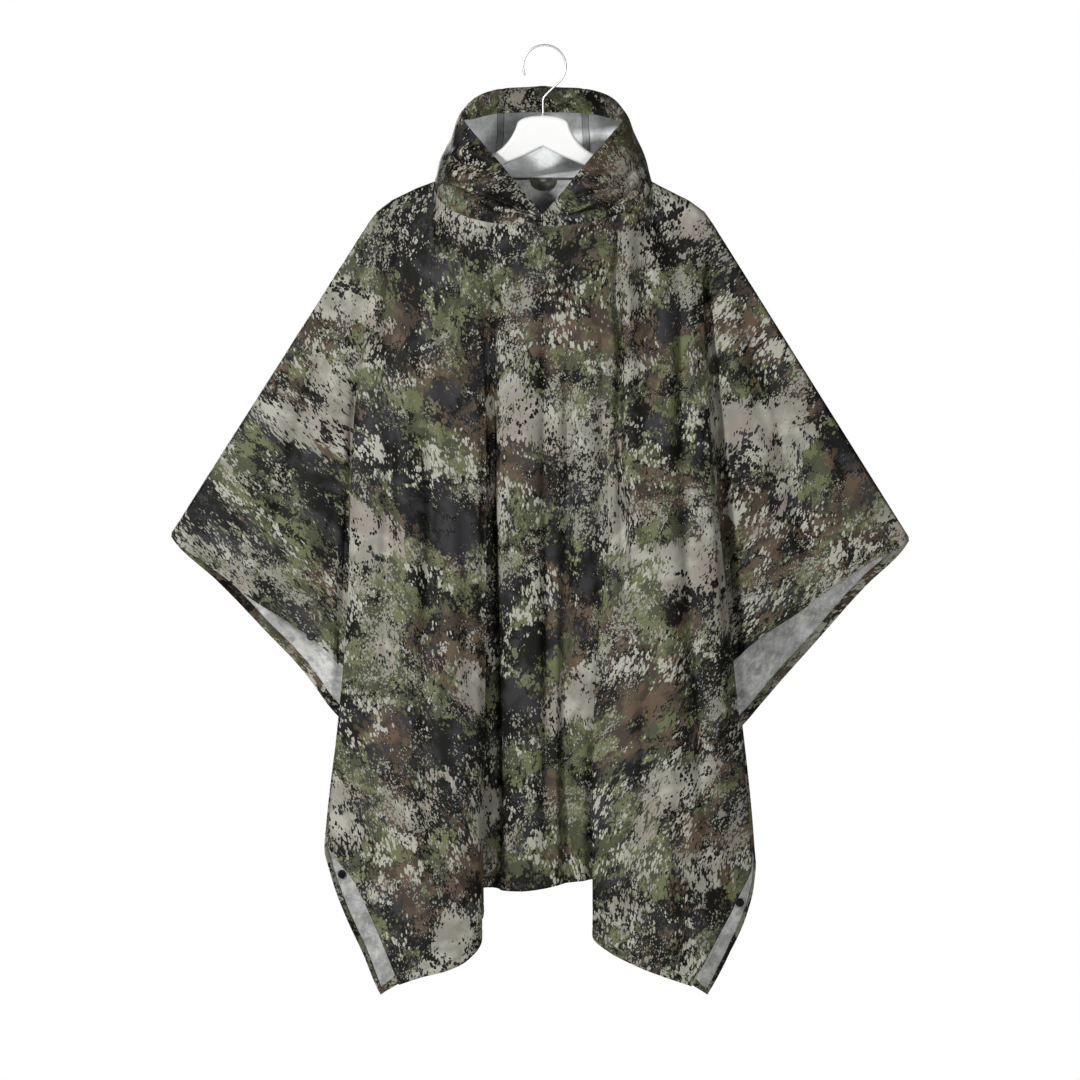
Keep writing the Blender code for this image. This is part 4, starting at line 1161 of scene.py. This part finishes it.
across = np.broadcast_to(np.cumsum(across.mean(axis=1))[:, None], upward.shape)
hood_flat = np.stack([HOOD_ON_CLOTH[0] + across * MM,
                      HOOD_ON_CLOTH[1] - np.cumsum(upward, axis=1) * MM], 2)

# the panels' coating made paler for the hood, as painted light: it stands in for lamp light that
# doesn't reach inside the hood
hood_coating_painted_light = coating("hood_coating_painted_light", (0.62, 0.635, 0.64), (0.95, 0.96, 0.96), 0.7)
cuts = (0, *seam_at, len(hood_grid) - 1)
for name, start, end in zip(("hood_left", "hood_centre", "hood_right"), cuts, cuts[1:]):
    part = slice(start, end + 1)
    points = hood_grid[part].copy()
    for edge, neighbour in ((0, 1), (-1, -2)):
        points[edge] += unit(points[neighbour] - points[edge]) * PIECE_GAP
    mesh = shell_mesh(name + "_cloth", points, hood_out[part], hood_flat[part])
    new_piece(name + "_cloth", mesh, "camouflage", camouflage, hood_coating_painted_light,
                                 stands_for=name)

brim_hem = turned_edge("brim_hem", hood_grid, hood_out, hood_flat)

# ---------------------------------------------------------------- seam tape
# Heat-sealed tape over the hood's two seams, inside, 10 mm wide. Its glue shows as a
# darker line along both edges. A narrow dark binding covers the neck seam.

TAPE_WIDTH, BINDING_WIDTH, BINDING_POINTS = 10.0, 3.6, 200
TAPE_PROFILE = (        # place across it, how far inside the cloth, place on the film
    (-0.5, 0.62, 0.0), (-0.25, 0.62, 0.25), (0.25, 0.62, 0.75), (0.5, 0.62, 1.0),
    (0.49, 0.86, 1.0), (0.25, 0.95, 0.75), (-0.25, 0.95, 0.25), (-0.49, 0.86, 0.0),
)
BINDING_PROFILE = ((1.3, -1.0), (1.9, -0.9), (2.1, 0.0), (1.9, 0.9), (1.3, 1.0))

sealed_tape, tree, shader = shader_tree("sealed_tape")
side_place = put(tree, "ShaderNodeSeparateXYZ", {0: cloth_space(tree)}).outputs["X"]
aside = math_node(tree, "ABSOLUTE", math_node(tree, "SUBTRACT", side_place, 0.5))
blotch = cloudy(tree, object_space(tree), 90.0, 5.0)
film = blend_colour(tree, blotch, (0.30, 0.31, 0.315, 1), (0.60, 0.61, 0.61, 1))
glued = blend_colour(tree, cut_between(tree, aside, 0.39, 0.48), film, (0.110, 0.113, 0.110, 1))
surface(tree, shader, glued, laid_between(tree, blotch, 0.26, 0.44), blotch, 0.3, 0.0006)

tape_rows = slice(1, -5)
for hand, column in zip(("left", "right"), seam_at):
    middle = hood_grid[column, tape_rows]
    across = unit(hood_grid[column + 1, tape_rows] - hood_grid[column - 1, tape_rows])
    ring = np.stack([middle + across * TAPE_WIDTH * beside - hood_out[column, tape_rows] * deep
                     for beside, deep, _ in TAPE_PROFILE], 1)
    along = np.arange(len(middle)) * 0.003
    flat = np.stack([np.stack([np.full(len(middle), u), along], 1) for _, _, u in TAPE_PROFILE], 1)
    new_piece("seam_tape_" + hand, swept("seam_tape_" + hand, ring, flat),
                                "camouflage", sealed_tape)

binding_web, tree, shader = shader_tree("binding_web")
place = object_space(tree)
ribs = put(tree, "ShaderNodeTexWave", {"Vector": place, "Scale": 260.0, "Distortion": 1.0,
                                       "Detail": 2.0}, bands_direction="DIAGONAL").outputs["Fac"]
patchy = cut_between(tree, cloudy(tree, place, 120.0, 4.0), 0.42, 0.56)
surface(tree, shader,
        blend_colour(tree, patchy, (0.030, 0.032, 0.026, 1), (0.085, 0.085, 0.060, 1)),
        0.78, ribs, 0.4, 0.0003)

neck_line = []
for angle in np.linspace(0, math.tau, BINDING_POINTS, endpoint=False):
    x = -NECK_HALF * math.sin(angle)
    side = FRONT if math.cos(angle) > 0 else BACK
    reach, z = neck_seam(np.array([x]), side)
    neck_line.append((x, side * reach[0], z[0]))
smooth = sum(np.roll(neck_line, k, 0) for k in (-1, 0, 1)) / 3
along = np.roll(smooth, -1, 0) - np.roll(smooth, 1, 0)
inward = unit(np.stack([-along[:, 1], along[:, 0], np.zeros(len(along))], 1))
inward *= np.where(np.sum(inward * smooth * (1, 1, 0), axis=1) > 0, -1, 1)[:, None]
up = np.array((0, 0, 1))
ring = np.stack([smooth + inward * deep + up * high * BINDING_WIDTH / 2
                 for deep, high in BINDING_PROFILE], 1)
new_piece("neck_binding", swept("neck_binding", ring, closed=True), "webbing", binding_web)

# ---------------------------------------------------------------- hanging loop
# A short length of woven ribbon folded into a half ring, with both ends caught in the
# back of the neck seam.

LOOP_WIDTH, LOOP_DROP, LOOP_BAND = 36.0, 16.0, 13.5
LOOP_THICK, LOOP_SAG, LOOP_STEPS = 1.4, 0.15, 41
LOOP_BELOW = 1.0        # its top, below the highest point of the neck seam
LOOP_PROFILE = ((0, 0.25), (0.06, 0.5), (0.5, 0.42), (0.94, 0.5), (1, 0.25),
                (1, -0.25), (0.94, -0.5), (0.5, -0.42), (0.06, -0.5), (0, -0.25))

loop_depth = NECK_REACH[BACK] - CLOTH - 2 * SEAM_GAP - LOOP_THICK / 2
ring = []
for step in range(LOOP_STEPS):
    angle = math.pi * step / (LOOP_STEPS - 1)
    outer = Vector((-LOOP_WIDTH / 2 * math.cos(angle), 0, -LOOP_DROP * math.sin(angle)))
    inner = Vector((-(LOOP_WIDTH / 2 - LOOP_BAND) * math.cos(angle), 0,
                    -(LOOP_DROP - LOOP_BAND) * math.sin(angle)))
    section = []
    for across, deep in LOOP_PROFILE:
        spot = inner.lerp(outer, across)
        section.append((spot.x, loop_depth + deep * LOOP_THICK + LOOP_SAG * math.sin(angle * 3),
                        NECK_Z + NECK_LIFT - LOOP_BELOW + spot.z))
    ring.append(section)
new_piece("hanging_ribbon", swept("hanging_ribbon", np.array(ring)), "webbing", binding_web,
          stands_for="hanging_loop")

# ---------------------------------------------------------------- press studs
# Black enamelled brass studs that close the sides: a cap with a rolled rim, clenched
# through the cloth to a flat ring behind it.

STUDS = (
    ("stud_left_wing", "front", -324.0, -826.0),
    ("stud_left_side", "back", -283.0, -1161.0),
    ("stud_right_side", "back", 277.0, -1201.0),
    ("stud_right_front", "front", 257.0, -1199.0),
)
CAP_PROFILE = ((0.0, 1.55), (1.6, 1.60), (2.9, 1.85), (4.0, 2.15), (5.1, 2.10), (5.85, 1.65),
               (6.2, 1.0), (6.15, 0.35), (5.7, 0.15))
RING_PROFILE = ((0.0, -1.3), (1.5, -1.3), (2.1, -1.9), (4.2, -1.9), (5.0, -1.6), (5.1, -1.1),
                (4.8, -0.8))

STUD_TURNS, STUD_LIFT = 28, 0.3     # points round a stud, and how far it stands off the cloth

black_enamel, tree, shader = shader_tree("black_enamel")
rubbed = cloudy(tree, object_space(tree), 700.0, 5.0)
shader.inputs["Specular IOR Level"].default_value = 0.3
surface(tree, shader,
        blend_colour(tree, rubbed, (0.003, 0.003, 0.003, 1), (0.010, 0.010, 0.010, 1)),
        laid_between(tree, rubbed, 0.34, 0.56), rubbed, 0.08, 0.0002)


def cloth_tree(grid):
    """The cloth's outer face, ready to be hit by a ray."""
    return BVHTree.FromPolygons(grid.reshape(-1, 3).tolist(), grid_quads(grid)[1].tolist())


def turned_ring(profile, turns):
    """Points and faces of a profile of radius and height turned about its axis."""
    verts = [(r * math.cos(math.tau * i / turns), r * math.sin(math.tau * i / turns), h)
             for r, h in profile[1:] for i in range(turns)]
    verts.append((0, 0, profile[0][1]))
    faces = [(len(verts) - 1, i, (i + 1) % turns) for i in range(turns)]
    for ring in range(len(profile) - 2):
        for i in range(turns):
            j, low, high = (i + 1) % turns, ring * turns, (ring + 1) * turns
            faces.append((low + i, high + i, high + j, low + j))
    last = (len(profile) - 2) * turns
    faces.append(tuple(last + i for i in range(turns)))
    return verts, faces


stud_trees = {"front": cloth_tree(front_grid), "back": cloth_tree(back_grid)}
for name, panel, x, z in STUDS:
    start = Vector((x, -400 if panel == "front" else 0, z))
    spot, normal, _, _ = stud_trees[panel].ray_cast(start, Vector((0, 1, 0)))
    if normal.y > 0:
        normal = -normal
    if panel == "back":
        spot = spot + normal * SHELL
    shape = bmesh.new()
    for profile in (CAP_PROFILE, RING_PROFILE):
        verts, faces = turned_ring(profile, STUD_TURNS)
        made = [shape.verts.new(v) for v in verts]
        for f in faces:
            shape.faces.new([made[i] for i in f])
    bmesh.ops.recalc_face_normals(shape, faces=shape.faces)
    turn = normal.to_track_quat("Z", "Y").to_matrix().to_4x4()
    shape.transform(Matrix.Scale(MM, 4) @ Matrix.Translation(spot + normal * STUD_LIFT) @ turn)
    mesh = bpy.data.meshes.new(name + "_cap")
    shape.to_mesh(mesh)
    shape.free()
    new_piece(name + "_cap", smoothed(mesh, 50), "stud", black_enamel, stands_for=name)

# ---------------------------------------------------------------- stitching
# Lockstitch in olive thread, about three to the centimetre: along the hems on both
# faces, and along the brim of the hood.

STITCH_PITCH, BRIM_PITCH = 3.2, 2.8
STITCH_SHARE, THREAD_WIDTH = 0.72, 0.55     # how much of the pitch a stitch takes up
STITCH_ROW = -5
STITCH_FACES = ((1, 0.15), (-1, 1.5))       # outside and inside, and how far off the grid

sewing_thread, tree, shader = shader_tree("sewing_thread")
ply = cloudy(tree, object_space(tree), 1800.0, 2.0)
surface(tree, shader,
        blend_colour(tree, ply, (0.034, 0.034, 0.022, 1), (0.080, 0.078, 0.052, 1)),
        0.7, ply, 0.3, 0.0002)


def stitch_nodes():
    """Geometry nodes: points with a way along and a way out in, sewn stitches out."""
    tree = bpy.data.node_groups.new("stitches", "GeometryNodeTree")
    for label, kind in (("Geometry", "Geometry"), ("Stitch Length", "Float"),
                        ("Thread Width", "Float"), ("Thread", "Material")):
        tree.interface.new_socket(label, in_out="INPUT", socket_type="NodeSocket" + kind)
    tree.interface.new_socket("Geometry", in_out="OUTPUT", socket_type="NodeSocketGeometry")
    ends = put(tree, "NodeGroupInput")
    bead = put(tree, "GeometryNodeMeshUVSphere", {"Segments": 6, "Rings": 4, "Radius": 0.5})
    size = put(tree, "ShaderNodeCombineXYZ", {0: ends.outputs["Stitch Length"],
                                              1: ends.outputs["Thread Width"],
                                              2: ends.outputs["Thread Width"]})
    bead = put(tree, "GeometryNodeTransform", {"Geometry": bead.outputs["Mesh"],
                                               "Scale": size.outputs[0]})
    ways = [put(tree, "GeometryNodeInputNamedAttribute", {"Name": label},
                data_type="FLOAT_VECTOR").outputs["Attribute"] for label in ("along", "out")]
    turn = put(tree, "FunctionNodeAlignRotationToVector", {"Vector": ways[0]}, axis="X")
    turn = put(tree, "FunctionNodeAlignRotationToVector",
               {"Rotation": turn.outputs[0], "Vector": ways[1]}, axis="Z", pivot_axis="X")
    uneven = put(tree, "FunctionNodeRandomValue", {2: 0.85, 3: 1.08, "Seed": 5},
                 data_type="FLOAT").outputs[1]
    sewn = put(tree, "GeometryNodeInstanceOnPoints", {
        "Points": ends.outputs["Geometry"], "Instance": bead.outputs[0],
        "Rotation": turn.outputs[0], "Scale": uneven})
    sewn = put(tree, "GeometryNodeRealizeInstances", {"Geometry": sewn.outputs[0]})
    sewn = put(tree, "GeometryNodeSetShadeSmooth", {"Geometry": sewn.outputs[0]})
    sewn = put(tree, "GeometryNodeSetMaterial", {"Geometry": sewn.outputs[0],
                                                 "Material": ends.outputs["Thread"]})
    put(tree, "NodeGroupOutput", {"Geometry": sewn.outputs[0]})
    return tree


stitch_tree = stitch_nodes()


def sew(name, grid, out, pitch=STITCH_PITCH):
    """Stitches along a hem, on the cloth's face and on the band behind it."""
    spots, alongs, outs = [], [], []
    for side, off in STITCH_FACES:
        facing = out[:, STITCH_ROW] * side
        line = grid[:, STITCH_ROW] + facing * off
        run = run_along(line)
        at = np.arange(pitch / 2, run[-1], pitch)
        spot, way, ahead = (np.stack([np.interp(w, run, v[:, i]) for i in range(3)], 1)
                            for w, v in ((at, line), (at, facing), (at + pitch / 3, line)))
        spots.append(spot)
        alongs.append(ahead - spot)
        outs.append(way)
    mesh = bpy.data.meshes.new(name)
    mesh.from_pydata((np.concatenate(spots) * MM).tolist(), [], [])
    for label, values in (("along", alongs), ("out", outs)):
        made = mesh.attributes.new(label, "FLOAT_VECTOR", "POINT")
        made.data.foreach_set("vector", np.concatenate(values).astype(np.float32).ravel())
    row = in_scene(name, mesh)
    modifier = row.modifiers.new("stitches", "NODES")
    modifier.node_group = stitch_tree
    sizes = {"Stitch Length": STITCH_SHARE * pitch * MM, "Thread Width": THREAD_WIDTH * MM,
             "Thread": sewing_thread}
    for socket in stitch_tree.interface.items_tree:
        if socket.in_out == "INPUT" and socket.name in sizes:
            modifier[socket.identifier] = sizes[socket.name]
    mesh = baked(row)
    mesh.materials.clear()
    return new_piece(name, mesh, "camouflage", sewing_thread)


front_stitches = sew("front_stitches", front_grid, front_out)
back_stitches = sew("back_stitches", back_grid, back_out)
brim_stitches = sew("brim_stitches", hood_grid, hood_out, BRIM_PITCH)

# ---------------------------------------------------------------- what the cloth was cut to
# Each panel is a rectangle 1.53 m wide and 1.05 m long, part of which lies folded in the side
# pleats. The stated area is the part that hangs here, since more of it lies folded in the
# side pleats. The hood is cut from a side piece and its mirror image, and a strip that joins
# them over the crown.

# ---------------------------------------------------------------- studio
# A pale floor well below the hem and white surroundings. A soft key stands to the left
# above the camera, a weaker fill to its right and a light behind. The camera is level
# and far enough away to flatten perspective.

FLOOR_RADIUS, FLOOR_Z, FLOOR_POINTS = 5.4, -1.65, 96
FRAME_WIDTH, FRAME_X, FRAME_Z = 1.512, -0.0042, -0.6916     # what the camera sees, in metres
CAMERA_DISTANCE, SENSOR = 24, 36
BACKDROP_LIGHT, BACKDROP_SEEN = 0.07, 0.93      # what lights the poncho, and the rest that shows

floor_mesh = bpy.data.meshes.new("floor")
turns = [math.tau * i / FLOOR_POINTS for i in range(FLOOR_POINTS)]
rim = [(FLOOR_RADIUS * math.cos(turn), FLOOR_RADIUS * math.sin(turn), FLOOR_Z) for turn in turns]
floor_mesh.from_pydata(rim, [], [tuple(range(FLOOR_POINTS))])
floor = in_scene("floor", floor_mesh)
floor_paint, tree, shader = shader_tree("floor_paint")
shader.inputs["Base Color"].default_value = (0.80, 0.80, 0.79, 1)
shader.inputs["Roughness"].default_value = 0.8
floor_mesh.materials.append(floor_paint)


def soft_light(name, place, aim, size, watts):
    """A square area light that shines from a place at an aim."""
    lamp = bpy.data.lights.new(name, "AREA")
    lamp.size = size
    lamp.energy = watts
    light = in_scene(name, lamp)
    light.location = place
    light.rotation_euler = (Vector(aim) - Vector(place)).to_track_quat("-Z", "Y").to_euler()


soft_light("key", (-2.6, -3.45, 0.9), (0, 0, -0.7), 0.4, 170)
soft_light("fill", (1.2, -4.0, -0.3), (0, 0, -0.5), 0.8, 46)
soft_light("behind", (-1.6, 4.2, 0.7), (0, 0, -0.7), 1.0, 160)

world = bpy.data.worlds.new("studio")
world.use_nodes = True
scene.world = world
tree = world.node_tree
backdrop = tree.nodes["Background"]
seen = put(tree, "ShaderNodeLightPath").outputs["Is Camera Ray"]
tree.links.new(math_node(tree, "MULTIPLY_ADD", seen, BACKDROP_SEEN, BACKDROP_LIGHT),
               backdrop.inputs["Strength"])
backdrop.inputs["Color"].default_value = (1, 1, 1, 1)

camera_data = bpy.data.cameras.new("camera")
camera_data.sensor_width = SENSOR
camera_data.lens = SENSOR * CAMERA_DISTANCE / FRAME_WIDTH
camera_data.clip_end = 200
camera = in_scene("camera", camera_data)
camera.location = (FRAME_X, -CAMERA_DISTANCE, FRAME_Z)
camera.rotation_euler = (math.pi / 2, 0, 0)
scene.camera = camera
scene.view_settings.view_transform = "Standard"
